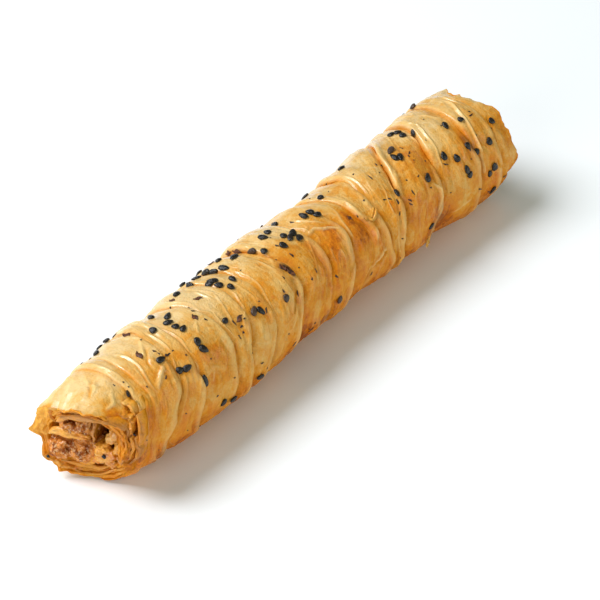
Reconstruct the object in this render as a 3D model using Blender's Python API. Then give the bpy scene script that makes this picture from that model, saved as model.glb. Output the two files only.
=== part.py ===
"""Rolled borek: a stick of thin pastry, ruffled into folds along its length and baked round a strand of minced filling.

Units are metres. +X runs along the roll from its near mouth to its far end, +Z is up, and the roll lies on z = 0.
An angle round the roll starts at the top (0) and turns towards -Y (90), the underside (180) and +Y (270 or -90).
"""

import math

import bmesh
import bpy
from mathutils import Vector

MM = 0.001

# Driving sizes
ROLL_LENGTH = 190 * MM
BODY_RADIUS = 17.6 * MM
AXIS_HEIGHT = 16.8 * MM  # less than the radius, so that the roll rests on a flattened strip
CROWN = 0.7 * MM  # how far a fold swells between its two creases
SNOUT_LENGTH = 14 * MM  # the top of the near end slopes down to the mouth over this length
SNOUT_DROP = 2.2 * MM
FILLING_RECESS = 4.6 * MM  # from the furthest point of the rim to the end of the filling
FILLING_GAP = 0.3 * MM  # between the filling and the pastry round it
RIM_SKEW = 3.7 * MM  # the near mouth is cut askew by this much to each side of its middle
RIM_SKEW_TURN = 0.63  # radians round the roll
FAR_RIM_SKEW = 1.0 * MM
LIP_THICKNESS = 1.4 * MM  # the pastry at the rim of a mouth
FLOOR_SHARE = 0.72  # the floor of a mouth, as a share of the roll's radius

# Resolution of the faceted solids
SIDES = 32
BAND_STATIONS = (0.0, 0.2, 0.55, 0.86)
FILLING_STATIONS = 36
CUTTER_STATIONS = 6
END_POINTS = 4

NEAR_X = -ROLL_LENGTH / 2
FAR_X = ROLL_LENGTH / 2

# Each crease runs round the roll: where it crosses the back, the top, the shoulder, the front and the underside,
# in millimetres along the roll, and how deep it is.
CREASE_ANGLES = (-90, 0, 45, 90, 180, 270)
CREASES = (
    ((-79, -80.5, -82.5, -86.5, -85), 0.9),
    ((-73, -73, -75, -79, -78), 0.5),
    ((-64, -61.5, -64.5, -74, -71), 1.1),
    ((-57, -56.5, -57.5, -60, -60), 0.9),
    ((-46, -43.5, -42, -44.5, -48), 1.3),
    ((-34, -31.5, -33, -37, -38), 1.0),
    ((-23, -23.5, -23.5, -26, -30), 1.1),
    ((-16, -12, -8, -14, -16), 1.3),
    ((0, 5, 6.2, 3, 0), 1.0),
    ((13, 17, 16.3, 12.5, 9), 1.4),
    ((21, 24, 27.5, 21, 17), 0.9),
    ((34, 33, 31.6, 31.8, 34), 1.3),
    ((52, 47, 42.5, 38.5, 41), 1.5),
    ((60, 56, 54, 49.5, 50), 0.5),
    ((71, 65, 62, 57, 57), 1.5),
    ((76, 77, 76.5, 75, 74), 1.0),
    ((86, 84, 80.5, 79.5, 81), 1.5),
    ((91, 90, 89.5, 87.5, 88), 0.8),
)

# The roll swells and narrows along its length: place in millimetres, and radius as a share of BODY_RADIUS.
SWELL = ((-95, 0.90), (-88, 0.97), (-76, 1.02), (-50, 1.035), (-20, 1.0), (15, 0.965),
         (40, 1.01), (60, 1.0), (84, 1.05), (92, 1.03), (95, 0.97))

# The strand of filling is a slab folded over on itself, open towards +Y, with a tongue of pastry in the fold.
# Its middle line in the end view and half its thickness there: (Y, Z, half) in millimetres from the roll's axis.
FOLD_LINE = ((9.3, 3.4, 2.5), (5.0, 5.7, 3.2), (0.6, 6.4, 3.0), (-2.2, 3.4, 2.4),
             (-2.2, -0.4, 2.5), (0.3, -4.0, 3.3), (4.8, -6.0, 4.0), (8.8, -5.4, 3.3))
SLAB_BULGE = 0.35 * MM  # how much the strand thickens and thins along the roll

# A hole that steam left in the near mouth, beside the strand: (Y, Z) from the axis, half its width and height, depth
HOLE_CENTRE = (-7.7 * MM, 5.4 * MM)
HOLE_HALF_WIDTH = 2.2 * MM
HOLE_HALF_HEIGHT = 3.9 * MM
HOLE_DEPTH = 8.0 * MM

PASTRY_COLOUR = (0.76, 0.44, 0.15, 1.0)
FILLING_COLOUR = (0.20, 0.085, 0.035, 1.0)


def smooth_step(t):
    t = min(1.0, max(0.0, t))
    return t * t * (3 - 2 * t)


def through(points, at):
    """The value at `at` of a smooth curve through (place, value) points."""
    places = [p for p, _ in points]
    at = min(places[-1], max(places[0], at))
    k = next(i for i in range(len(points) - 1) if at <= places[i + 1])
    (p0, v0), (p1, v1) = points[k], points[k + 1]
    return v0 + (v1 - v0) * smooth_step((at - p0) / (p1 - p0))


def crease_x(crossings, angle):
    """Where a crease lies along the roll, at an angle round it. The underside at 270 is the back again."""
    values = [*crossings, crossings[0]]
    return through(list(zip(CREASE_ANGLES, values)), math.degrees(angle)) * MM


def near_rim_x(angle):
    """The mouth faces a little towards -Y and the underside stays back."""
    return NEAR_X + RIM_SKEW * (1 + math.sin(angle - RIM_SKEW_TURN))


def far_rim_x(angle):
    return FAR_X - FAR_RIM_SKEW * (1 + math.cos(angle - RIM_SKEW_TURN))


def body_radius(x):
    return BODY_RADIUS * through(SWELL, x / MM)


def fold_radius(x, angle, share, depth_before, depth_after):
    """A fold rises slowly behind one crease, swells, and drops sharply into the next. share goes from 0 to 1."""
    swell = CROWN * math.sin(math.pi * share ** 1.3)
    behind = depth_before * (1 - smooth_step(share / 0.4))
    ahead = depth_after * (1 - smooth_step((1 - share) / 0.2))
    snout = SNOUT_DROP * smooth_step((NEAR_X + SNOUT_LENGTH - x) / SNOUT_LENGTH) * max(0.0, math.cos(angle))
    return body_radius(x) + swell - behind - ahead - snout


def on_roll(x, angle, radius):
    """A point at a radius from the axis, kept above the surface that the roll rests on."""
    height = AXIS_HEIGHT + radius * math.cos(angle)
    return Vector((x, -radius * math.sin(angle), max(0.0, height)))


def pastry_sections():
    """Rings of points from the bottom of the near mouth, out over the folds, to the bottom of the far mouth."""
    angles = [-math.pi / 2 + 2 * math.pi * k / SIDES for k in range(SIDES)]
    edges = [(near_rim_x, 0.0)]
    edges += [(lambda a, c=crossings: crease_x(c, a), depth * MM) for crossings, depth in CREASES]
    edges += [(far_rim_x, 0.0)]
    rings = []
    for (start, depth_before), (stop, depth_after) in zip(edges, edges[1:]):
        for share in BAND_STATIONS:
            ring = []
            for angle in angles:
                x = start(angle) + (stop(angle) - start(angle)) * share
                ring.append(on_roll(x, angle, fold_radius(x, angle, share, depth_before, depth_after)))
            rings.append(ring)
    rings.append([on_roll(far_rim_x(a), a, body_radius(FAR_X)) for a in angles])

    def dish(rim_x, rim_ring, inwards):
        """The end turns in over a rounded rim to a floor that is smaller and set back."""
        radii = [(p.yz - Vector((0, AXIS_HEIGHT))).length for p in rim_ring]
        lip = [on_roll(rim_x(a) + inwards * LIP_THICKNESS / 4, a, r - LIP_THICKNESS) for a, r in zip(angles, radii)]
        floor_x = inwards * (max(inwards * rim_x(a) for a in angles) + LIP_THICKNESS / 4)
        floor = [on_roll(floor_x, a, FLOOR_SHARE * body_radius(floor_x)) for a in angles]
        return lip, floor

    near_lip, near_floor = dish(near_rim_x, rings[0], 1)
    far_lip, far_floor = dish(far_rim_x, rings[-1], -1)
    return [near_floor, near_lip, *rings, far_lip, far_floor]


def slab_outline(extra):
    """The folded slab's outline in the end view: out along one side of its middle line, round its end, and back."""
    middle = [Vector((y, z)) * MM for y, z, _ in FOLD_LINE]
    half = [h * MM + extra for _, _, h in FOLD_LINE]
    last = len(middle) - 1
    along = [(middle[min(k + 1, last)] - middle[max(k - 1, 0)]).normalized() for k in range(last + 1)]
    left = [p + Vector((-d.y, d.x)) * h for p, d, h in zip(middle, along, half)]
    right = [p - Vector((-d.y, d.x)) * h for p, d, h in zip(middle, along, half)]

    def round_end(centre, direction, radius):
        """Points round a half circle, from the left side of a direction to its right side."""
        side = Vector((-direction.y, direction.x))
        turns = [math.pi * (k + 1) / (END_POINTS + 1) for k in range(END_POINTS)]
        return [centre + (side * math.cos(t) + direction * math.sin(t)) * radius for t in turns]

    far_arm = round_end(middle[-1], along[-1], half[-1])
    near_arm = round_end(middle[0], -along[0], half[0])
    return [*left, *far_arm, *reversed(right), *near_arm]


def slab_sections(start, stop, stations, growth):
    """The folded slab from start to stop. growth says how much its outline is grown at a place along the roll."""
    rings = []
    for k in range(stations + 1):
        x = start + (stop - start) * k / stations
        rings.append([Vector((x, p.x, AXIS_HEIGHT + p.y)) for p in slab_outline(growth(x))])
    return rings


def filling_growth(x):
    """The minced strand thickens and thins along the roll."""
    return SLAB_BULGE / 2 * (math.sin(x / (9 * MM)) + math.sin(x / (5.3 * MM) + 1.7))


def loft(name, rings, collection):
    """A closed solid through rings that all have the same number of points, with a flat cap at each end."""
    shape = bmesh.new()
    rows = [[shape.verts.new(point) for point in ring] for ring in rings]
    count = len(rows[0])
    for row, following in zip(rows, rows[1:]):
        for k in range(count):
            shape.faces.new((row[k], row[(k + 1) % count], following[(k + 1) % count], following[k]))
    shape.faces.new(rows[0])
    shape.faces.new(rows[-1])
    bmesh.ops.recalc_face_normals(shape, faces=shape.faces)
    mesh = bpy.data.meshes.new(name)
    shape.to_mesh(mesh)
    shape.free()
    made = bpy.data.objects.new(name, mesh)
    collection.objects.link(made)
    return made


def finish(name, colour, roughness):
    material = bpy.data.materials.new(name)
    material.use_nodes = True
    shader = material.node_tree.nodes["Principled BSDF"]
    shader.inputs["Base Color"].default_value = colour
    shader.inputs["Roughness"].default_value = roughness
    shader.inputs["Metallic"].default_value = 0.0
    return material


def clear_scene():
    for item in list(bpy.data.objects):
        bpy.data.objects.remove(item, do_unlink=True)


def new_collection(name):
    made = bpy.data.collections.new(name)
    bpy.context.scene.collection.children.link(made)
    return made


def make_filling_space(collection):
    """The space that the filling takes up in the pastry, with its gap, longer than the roll at both ends."""
    past_the_end = 5 * MM
    rings = slab_sections(NEAR_X - past_the_end, FAR_X + past_the_end, CUTTER_STATIONS,
                          lambda x: SLAB_BULGE + FILLING_GAP)
    return loft("filling_space", rings, collection)


def make_steam_hole(collection):
    bpy.ops.mesh.primitive_uv_sphere_add(segments=14, ring_count=9, radius=1.0)
    hole = bpy.context.object
    hole.name = "steam_hole"
    hole.scale = (HOLE_DEPTH, HOLE_HALF_WIDTH, HOLE_HALF_HEIGHT)
    hole.location = (near_rim_x(math.pi / 2), HOLE_CENTRE[0], AXIS_HEIGHT + HOLE_CENTRE[1])
    bpy.ops.object.transform_apply(location=True, rotation=False, scale=True)
    bpy.context.collection.objects.unlink(hole)
    collection.objects.link(hole)
    return hole


def make_pastry(collection, cutters):
    pastry = loft("pastry", pastry_sections(), collection)
    pastry.data.materials.append(finish("baked_pastry", PASTRY_COLOUR, 0.45))
    for cutter in cutters:
        cutter.hide_render = True
        cutter.display_type = "WIRE"
        cut = pastry.modifiers.new(cutter.name, "BOOLEAN")
        cut.operation = "DIFFERENCE"
        cut.object = cutter
    return pastry


def make_filling(collection):
    rings = slab_sections(NEAR_X + FILLING_RECESS, FAR_X - FILLING_RECESS, FILLING_STATIONS, filling_growth)
    filling = loft("filling", rings, collection)
    filling.data.materials.append(finish("minced_filling", FILLING_COLOUR, 0.5))
    return filling


def main():
    clear_scene()
    borek = new_collection("borek")
    cutters = new_collection("cutters")
    make_pastry(borek, [make_filling_space(cutters), make_steam_hole(cutters)])
    make_filling(borek)


main()
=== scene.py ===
import math

import bmesh
import bpy
import numpy as np
from mathutils import Matrix, Vector


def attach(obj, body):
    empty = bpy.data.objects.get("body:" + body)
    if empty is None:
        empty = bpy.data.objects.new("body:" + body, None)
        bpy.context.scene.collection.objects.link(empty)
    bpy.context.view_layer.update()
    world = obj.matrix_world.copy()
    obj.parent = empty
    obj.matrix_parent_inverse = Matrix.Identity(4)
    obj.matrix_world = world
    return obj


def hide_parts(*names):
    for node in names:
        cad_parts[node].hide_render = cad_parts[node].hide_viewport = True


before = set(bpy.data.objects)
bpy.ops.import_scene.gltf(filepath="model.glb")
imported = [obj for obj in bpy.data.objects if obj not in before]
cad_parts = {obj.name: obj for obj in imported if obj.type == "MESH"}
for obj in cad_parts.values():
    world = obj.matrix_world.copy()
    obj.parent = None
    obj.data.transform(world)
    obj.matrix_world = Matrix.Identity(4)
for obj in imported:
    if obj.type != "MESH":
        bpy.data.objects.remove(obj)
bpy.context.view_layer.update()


# ---------------------------------------------------------------- The table top, the camera and the lights
# The borek lies on a plain white table top. One large soft light stands behind it to the left, two weak
# ones stand to its left and in front, and the pale room fills the shadows. The camera looks down on it
# from beyond the near mouth.

MM = 0.001
CAMERA_TURN = math.radians(-52)
CAMERA_RISE = math.radians(38.2)
CAMERA_DISTANCE = 0.9
CAMERA_AIM = (4.1 * MM, -5.24 * MM)  # the view's middle, from the roll's middle, to the right and up
ROLL_MIDDLE = Vector((0, 0, 18 * MM))
LENS = 179.2  # mm, on a 36 mm sensor
TABLE_HALF = 3.0


def put(thing, name, place, target):
    """A camera or lamp at a place, looking at a target."""
    made = bpy.data.objects.new(name, thing)
    made.location = place
    made.rotation_mode = "QUATERNION"
    made.rotation_quaternion = (Vector(target) - Vector(place)).to_track_quat("-Z", "Y")
    bpy.context.scene.collection.objects.link(made)
    return made


def soft_lamp(name, place, size, power, colour):
    lamp = bpy.data.lights.new(name, "AREA")
    lamp.shape = "DISK"
    lamp.size = size
    lamp.energy = power
    lamp.color = colour
    return put(lamp, name, place, ROLL_MIDDLE)


level = math.cos(CAMERA_RISE)
back = Vector((math.sin(CAMERA_TURN) * level, -math.cos(CAMERA_TURN) * level, math.sin(CAMERA_RISE)))
right = Vector((math.cos(CAMERA_TURN), math.sin(CAMERA_TURN), 0))
lens = bpy.data.cameras.new("camera")
lens.lens = LENS
lens.sensor_width = 36
bpy.context.scene.camera = put(lens, "camera", ROLL_MIDDLE + back * CAMERA_DISTANCE,
                               ROLL_MIDDLE + right * CAMERA_AIM[0] + back.cross(right) * CAMERA_AIM[1])

soft_lamp("key_light", (-0.44, 0.585, 0.962), 0.8, 17.9, (0.97, 1.0, 1.06))
soft_lamp("left_fill", (-1.0, -0.18, 0.42), 0.7, 3.7, (1.0, 1.0, 1.0))
soft_lamp("front_fill", (0.3, -0.95, 0.3), 0.8, 3.5, (0.95, 1.0, 0.82))

room = bpy.data.worlds.new("pale_room")
room.use_nodes = True
air = room.node_tree.nodes["Background"].inputs
air["Color"].default_value = (0.82, 1.0, 0.9, 1.0)
air["Strength"].default_value = 0.2
bpy.context.scene.world = room
bpy.context.scene.view_settings.view_transform = "Standard"

table = bpy.data.meshes.new("table_top")
corners = [(x * TABLE_HALF, y * TABLE_HALF, 0) for x, y in ((-1, -1), (1, -1), (1, 1), (-1, 1))]
table.from_pydata(corners, [], [(0, 1, 2, 3)])
table_top = bpy.data.objects.new("table_top", table)
bpy.context.scene.collection.objects.link(table_top)
white = bpy.data.materials.new("white_table")
white.use_nodes = True
paint = white.node_tree.nodes["Principled BSDF"].inputs
paint["Base Color"].default_value = (0.92, 0.92, 0.92, 1.0)
paint["Roughness"].default_value = 0.7
paint["Specular IOR Level"].default_value = 0.1
table.materials.append(white)


# ---------------------------------------------------------------- The baked dough
# Thin sheets of wheat dough brushed with oil and baked. Where they stand up they are paler, with a painted
# highlight along their crests. Down in the creases, where several leaves lie together, a deep clear orange
# is painted for the shade there and for the light shining through the leaves, and the thinnest leaves get a
# painted glow of that light.

class Wire:
    """A socket in a node tree. Sums, differences and products of wires add their Math nodes."""

    def __init__(self, tree, socket=None):
        self.tree = tree
        self.socket = socket

    def node(self, kind, settings=None, values=None, output=0):
        """Any other node: its type, its settings, the values or wires of its sockets, and its output."""
        made = self.tree.nodes.new(kind)
        for key, value in (settings or {}).items():
            if key == "stops":
                ramp = made.color_ramp.elements
                while len(ramp) < len(value):
                    ramp.new(1.0)
                for stop, (at, colour) in zip(ramp, value):
                    stop.position = at
                    stop.color = colour
            else:
                setattr(made, key, value)
        for key, value in (values or {}).items():
            if isinstance(value, Wire):
                self.tree.links.new(value.socket, made.inputs[key])
            else:
                made.inputs[key].default_value = value
        return Wire(self.tree, made.outputs[output])

    def sum_of(self, operation, first, second):
        return self.node("ShaderNodeMath", {"operation": operation}, {0: first, 1: second})

    def __add__(self, other):
        return self.sum_of("ADD", self, other)

    def __sub__(self, other):
        return self.sum_of("SUBTRACT", self, other)

    def __rsub__(self, other):
        return self.sum_of("SUBTRACT", other, self)

    def __mul__(self, other):
        return self.sum_of("MULTIPLY", self, other)

    __radd__ = __add__
    __rmul__ = __mul__

    def between(self, low, high):
        """0 below low, 1 above high, and smooth in between."""
        return self.node("ShaderNodeMapRange", {"interpolation_type": "SMOOTHSTEP"},
                         {"Value": self, "From Min": low, "From Max": high})

    def on_piece(self):
        """The place on the piece, in mm, as a vector."""
        place = self.node("ShaderNodeTexCoord", output=3)
        return self.node("ShaderNodeVectorMath", {"operation": "MULTIPLY"}, {0: place, 1: (1 / MM,) * 3})

    def felt(self, attribute):
        """A value that the mesh holds at each point."""
        return self.node("ShaderNodeAttribute", {"attribute_name": attribute}, output=2)

    def grain(self, size, detail=2.0, roughness=0.5):
        """Cloudy noise over this vector, about 0.5, with features of a size in the vector's own unit."""
        return self.node("ShaderNodeTexNoise", None, {
            "Vector": self, "Scale": 1 / size, "Detail": detail, "Roughness": roughness})

    def bumped(self, strength, height):
        """A normal roughened by this wire. height is in metres."""
        return self.node("ShaderNodeBump", None, {"Strength": strength, "Distance": height, "Height": self})

    def mixed(self, first, second):
        """A colour from first to second as this wire goes from 0 to 1."""
        return self.node("ShaderNodeMix", {"data_type": "RGBA", "clamp_factor": True},
                         {0: self, 6: first, 7: second}, output=2)


def new_finish(name):
    """A new material, and a wire into its tree."""
    material = bpy.data.materials.new(name)
    material.use_nodes = True
    return material, Wire(material.node_tree)


def set_surface(material, **values):
    """Values or wires for the sockets of the material's shader, with _ for a space in their names."""
    shader = material.node_tree.nodes["Principled BSDF"]
    for key, value in values.items():
        socket = shader.inputs[key.replace("_", " ")]
        if isinstance(value, Wire):
            material.node_tree.links.new(value.socket, socket)
        else:
            socket.default_value = value


def tint(red, green, blue):
    """A colour as a shader reads it, from the 0 to 255 values that a paint chart gives."""
    shares = [value / 255 for value in (red, green, blue)]
    return (*[s / 12.92 if s <= 0.04045 else ((s + 0.055) / 1.055) ** 2.4 for s in shares], 1.0)


BROWNED_DOUGH = tint(150, 72, 10)
DOUGH_COLOURS = (  # from hardly baked to browned
    (0.0, tint(227, 191, 132)), (0.3, tint(222, 170, 91)), (0.55, tint(218, 143, 42)),
    (0.78, tint(208, 116, 17)), (1.0, BROWNED_DOUGH),
)
# The crease colours are painted shade: the shade down in the creases, with the light that shines through the
# stacked leaves there.
CREASE_SHADE_ORANGE = tint(214, 137, 24)
DEEP_CREASE_SHADE = tint(190, 101, 7)
# The crest colour is the paler dough of the crests with a painted highlight on it.
CREST_CREAM_HIGHLIGHT = tint(237, 200, 132)
# The clear colour is the paler thin dough with a painted glow of light shining through it.
CLEAR_LEAF_GLOW = tint(247, 182, 78)
CHARRED = tint(60, 28, 12)
CREASE_SHADE_SHARE = 0.95  # how much of a crease's colour is its own


def baked_dough(name, tone):
    """The finish of a baked sheet. tone is how far it is baked where nothing else says so, from 0 to 1."""
    material, wire = new_finish(name)
    place = wire.on_piece()
    y, z = [place.node("ShaderNodeSeparateXYZ", None, {0: place}, output=k) for k in (1, 2)]
    drawn_out = wire.node("ShaderNodeCombineXYZ", None, {0: wire.felt("along"), 1: y * 0.16, 2: z * 0.16})
    streak = drawn_out.grain(1.3, 3.0, 0.55)
    blotch = place.grain(7.0, 3.0, 0.55)
    mottle = place.grain(1.7, 3.0, 0.65)
    fine = place.grain(0.55, 3.0, 0.65)

    patch = place.grain(4.5, 5.0, 0.6).between(0.46, 0.54)
    baked = wire.felt("toast") + tone + (blotch - 0.5) * 0.5 + (streak - 0.5) * 0.33
    baked = baked + (mottle - 0.5) * 0.45 + (fine - 0.5) * 0.2 + (patch - 0.5) * 0.14
    colour = wire.node("ShaderNodeValToRGB", {"stops": DOUGH_COLOURS}, {0: baked})
    # The crests: paler dough with a painted highlight.
    colour = (wire.felt("crest") * 0.5).mixed(colour, CREST_CREAM_HIGHLIGHT)
    # Painted shade in the creases, darkest where they are deepest.
    colour = (wire.felt("crease") * CREASE_SHADE_SHARE).mixed(colour, CREASE_SHADE_ORANGE)
    colour = (wire.felt("crease").between(0.7, 1.0) * 0.6).mixed(colour, DEEP_CREASE_SHADE)
    freckle = place.grain(0.8, 2.0, 0.7).between(0.66, 0.76) * blotch.between(0.5, 0.62) * 0.4
    colour = freckle.mixed(colour, BROWNED_DOUGH)
    # A painted glow of light through the thinnest leaves.
    colour = wire.felt("thin").mixed(colour, CLEAR_LEAF_GLOW)
    colour = wire.felt("char").mixed(colour, CHARRED)

    rough = (streak * 0.6 + fine * 0.5 + mottle * 0.8).bumped(0.8, 0.7 * MM)
    oil = 0.9 + (blotch - 0.5) * 1.8 + (mottle - 0.5) * 1.8
    oil = oil * (1 - wire.felt("crease")) * (wire.felt("oil") + 0.15)
    set_surface(material, Base_Color=colour, Roughness=0.6, Normal=rough, Specular_IOR_Level=0.0,
                Coat_Weight=oil, Coat_IOR=1.6, Coat_Roughness=0.26,
                Subsurface_Weight=0.12, Subsurface_Radius=(1.0, 0.7, 0.35), Subsurface_Scale=0.5 * MM)
    return material


# ---------------------------------------------------------------- The folded sheet
# One long sheet of dough, rolled up and then pushed together along its length, so that it lies in
# slanting ruffles. Each fold laps over the next with a soft rounded lip. It is made in three lengths,
# parted down in two creases, and each length is a tube with the filling's channel in it.

COLUMNS = 260  # points round the roll
AXIS_HEIGHT = 16.8  # mm; this section works in millimetres
TURN = np.linspace(-math.pi, math.pi, COLUMNS, endpoint=False)  # 0 at the top, rising to the front
TURN_DEG = np.degrees(TURN)
ARC_RADIUS = 18.0  # at which distances round the roll are measured

# Where each fold's crease runs, in mm along the roll at each of these angles round it, how deep it is,
# how strong it is at each angle, and the angle at which its lip changes over: up to it the lip laps over
# the near side, and past it over the far side.
FOLD_ANGLES = (-120, -48, 0, 25, 50, 75, 100, 150)
FOLDS = (
    ((-80, -80, -80, -80.2, -81.6, -84.3, -86.8, -85), 1.3, (.7, .5, .4, .5, 1, 1, .8, .7), 999),
    ((-74, -74, -76, -75.7, -77, -80, -82, -79), 0.6, (.6, .5, .6, .5, .2, .15, .4, .6), 999),
    ((-64, -61, -63, -63.5, -65, -71.5, -75.5, -71), 1.1, (.8, .5, .25, .35, 1, 1, .9, .8), -15),
    ((-57, -54.5, -56.5, -56.8, -57.5, -58.5, -60.5, -58), 0.8, (.7, .4, .5, .4, .5, .8, 1, .8), -60),
    ((-48, -47, -43.5, -42, -41.8, -43.5, -45, -47), 1.2, (.9, .9, .4, .5, .9, 1, 1, .8), -12),
    ((-36, -34.4, -31, -31.3, -33, -36.5, -37.5, -36), 1.0, (.8, .8, .45, .45, .9, .9, .7, .8), -12),
    ((-26, -23.8, -23, -22.7, -23.2, -24.5, -28, -29), 1.0, (.9, .9, .4, .3, .3, .7, 1, .8), -12),
    ((-12, -10.6, -10.5, -8.5, -8, -13, -14.5, -15), 1.4, (1, 1.3, .4, .6, 1, 1, 1, .9), 8),
    ((3, 3.5, 4.5, 6.3, 5.5, 3, 2, 0), 1.1, (.8, .5, .6, .9, .5, .2, .4, .7), -60),
    ((14, 14.5, 16.5, 17.2, 15.8, 13.8, 12, 9), 1.2, (.8, .5, .5, .8, .8, 1, 1, .9), -60),
    ((20, 21, 24.5, 25.5, 26.5, 24, 21, 18), 0.8, (.7, .7, .6, .9, .3, .2, .4, .7), 999),
    ((37, 36, 34, 32.4, 32, 31.5, 34, 35), 1.2, (.8, 1, .4, .7, 1, 1, 1, .8), -10),
    ((64, 60, 48.6, 44.6, 41.5, 38.7, 38.3, 41), 1.5, (.8, .8, .9, 1, 1, 1, .9, .9), 37),
    ((73, 72, 66, 63.5, 61, 57.5, 54.5, 55), 1.5, (.8, .8, .7, .9, 1, 1, 1, .9), 37),
    ((83, 83, 80.5, 79.6, 78, 78.2, 78.6, 78), 1.4, (.8, .7, .5, 1, .9, 1, 1, .9), 37),
    ((91, 91, 90, 89.5, 88.5, 87.5, 88, 88), 0.9, (.7, .4, .2, .5, .7, 1, 1, .8), -60),
)
LENGTHS = ("near_folds", "middle_folds", "far_folds")
CHANNEL_SHARES = ((0.35, 0.65), (0.3, 0.5, 0.7), (0.35, 0.65))  # where each one's channel has its rings
PARTINGS = (6, 12)  # the creases, counted with the near rim as 0, where one length ends and the next begins
ROWS_PER_MM = 5.3

# The rims of the two mouths: angle, mm along the roll, and mm from the axis.
NEAR_RIM = (
    (-157, -90.8, 16.4), (-137, -94, 17.0), (-122, -95, 17.2), (-110, -93.5, 16.8), (-101, -93.7, 16.9),
    (-97, -95.0, 18.6), (-94, -95.3, 20.0), (-90, -94.6, 18.2), (-80, -94, 17.6), (-66, -94.0, 17.2),
    (-52, -94.6, 16.8), (-38, -94.9, 14.0), (-22, -95.1, 13.5), (-7, -95, 14.5), (5, -95.0, 15.7),
    (13, -94.7, 16.3), (22, -93.6, 16.7), (29, -91.8, 16.5), (40, -89.5, 15.8), (60, -89.2, 14.5),
    (77, -90.3, 13.0), (95, -90.2, 12.4), (115, -88.4, 12.5), (133, -86.0, 13.5), (155, -85.4, 15.2),
    (180, -87.3, 16.2),
)
FAR_RIM = (
    (-150, 94, 16.4), (-90, 95, 17.4), (-60, 95.2, 18.0), (-47, 96.4, 18.4), (-40, 98.1, 18.1),
    (-32, 96, 17.8), (-20, 93.8, 17.6), (2, 93.2, 17.6), (14, 93.9, 18.4), (27, 96.3, 18.7),
    (38, 97.0, 18.7), (50, 95.6, 18.2), (73, 95.6, 18.2), (83, 96.6, 18.2), (88, 97.6, 18.4),
    (96, 94.8, 18.0), (120, 93.6, 17.3), (150, 93.2, 16.5),
)

# The roll's radius over its folds, as its outline shows it from the back and from the front: mm along the
# roll, and mm from the axis.
BACK_RADIUS = (
    (-95, 17.1), (-90, 17.9), (-85, 17.8), (-78, 19.0), (-72, 18.7), (-64, 19.6), (-56, 19.8),
    (-50, 18.7), (-43, 19.2), (-37, 18.8), (-30, 19.1), (-26, 18.4), (-19, 19.0), (-14, 18.2), (-6, 20.1),
    (5, 18.7), (15, 18.7), (22, 18.0), (29, 17.4), (39, 19.0), (43, 18.5), (51, 19.5), (58, 18.4),
    (62, 18.1), (67, 19.0), (75, 19.5), (81, 18.8), (87, 19.4), (91, 19.2), (95, 18.4),
)
FRONT_RADIUS = (
    (-95, 15.0), (-85, 14.7), (-78, 15.2), (-73, 15.9), (-60, 16.4), (-47, 16.8), (-37, 16.9),
    (-30, 16.5), (-22, 16.8), (-13, 15.8), (-1, 15.2), (8, 15.9), (14, 15.2), (23, 15.5), (31, 16.4),
    (44, 16.5), (50, 16.1), (55, 16.8), (60, 16.0), (66, 16.7), (75, 17.6), (86, 18.1), (92, 17.8),
    (97, 17.2),
)


def smooth_step(value):
    value = np.clip(value, 0, 1)
    return value * value * (3 - 2 * value)


def softened(values, blur):
    """A value at every column, blurred by that many degrees round the roll."""
    waves = np.arange(COLUMNS // 2 + 1)
    return np.fft.irfft(np.fft.rfft(values) * np.exp(-0.5 * (waves * math.radians(blur)) ** 2), COLUMNS)


def round_the_roll(values, angles=FOLD_ANGLES, blur=7.0):
    """Values at some angles as a smooth value at every column."""
    return softened(np.interp(TURN_DEG, angles, values, period=360), blur)


def wobble(seed, size, blur):
    """A seeded uneven line round the roll, which strays by about its size."""
    line = softened(np.random.default_rng(seed).standard_normal(COLUMNS), blur)
    return line / line.std() * size


def bell(reach, width):
    """Weights that blur a row of values, reaching so many steps each way."""
    weights = np.exp(-0.5 * (np.arange(-reach, reach + 1) / width) ** 2)
    return weights / weights.sum()


def along_the_roll(table):
    """A table of mm along and a value, as a smooth value at every point of the sheet."""
    fine = np.arange(-104, 104.1, 0.5)
    values = np.pad(np.interp(fine, *zip(*table)), 8, "edge")
    return np.interp(sheet_x, fine, np.convolve(values, bell(8, 3.0), "valid"))


near_angles, near_x, near_radius = zip(*NEAR_RIM)
far_angles, far_x, far_radius = zip(*FAR_RIM)
near_edge = round_the_roll(near_x, near_angles, 1.8) + wobble(1, 0.35, 2.2)
far_edge = round_the_roll(far_x, far_angles, 2.5) + wobble(2, 0.3, 4.0) + wobble(6, 0.2, 1.5)
fold_lines = [round_the_roll(fold[0]) + wobble(10 + k, 0.22, 7.0) for k, fold in enumerate(FOLDS)]
lines = [near_edge, *fold_lines, far_edge]

# The rows of points: dense at the creases. Each row knows its band, how far it is across it, and its
# place along the roll if the folds didn't slant.
row_band, row_share, row_along = [], [], []
for band, (start, stop) in enumerate(zip(lines, lines[1:])):
    count = max(10, round((stop - start).mean() * ROWS_PER_MM))
    share = np.arange(count) / count
    share = 0.45 * share + 0.55 * (0.5 - 0.5 * np.cos(math.pi * share))
    row_band += [band] * count
    row_share += list(share)
    row_along += list(start.mean() + (stop.mean() - start.mean()) * share)
row_band = np.array(row_band + [len(FOLDS)])
row_share = np.array(row_share + [1.0])
row_along = np.array(row_along + [lines[-1].mean()])
edges = np.array(lines)
across = row_share[:, None]
sheet_x = edges[row_band] * (1 - across) + edges[row_band + 1] * across
arc = TURN[None, :] * ARC_RADIUS + sheet_x * 0

NOISE_STEP = 0.25
NOISE_START = -100.0
NOISE_ROWS = 820
GIRTH = 113.0


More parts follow.
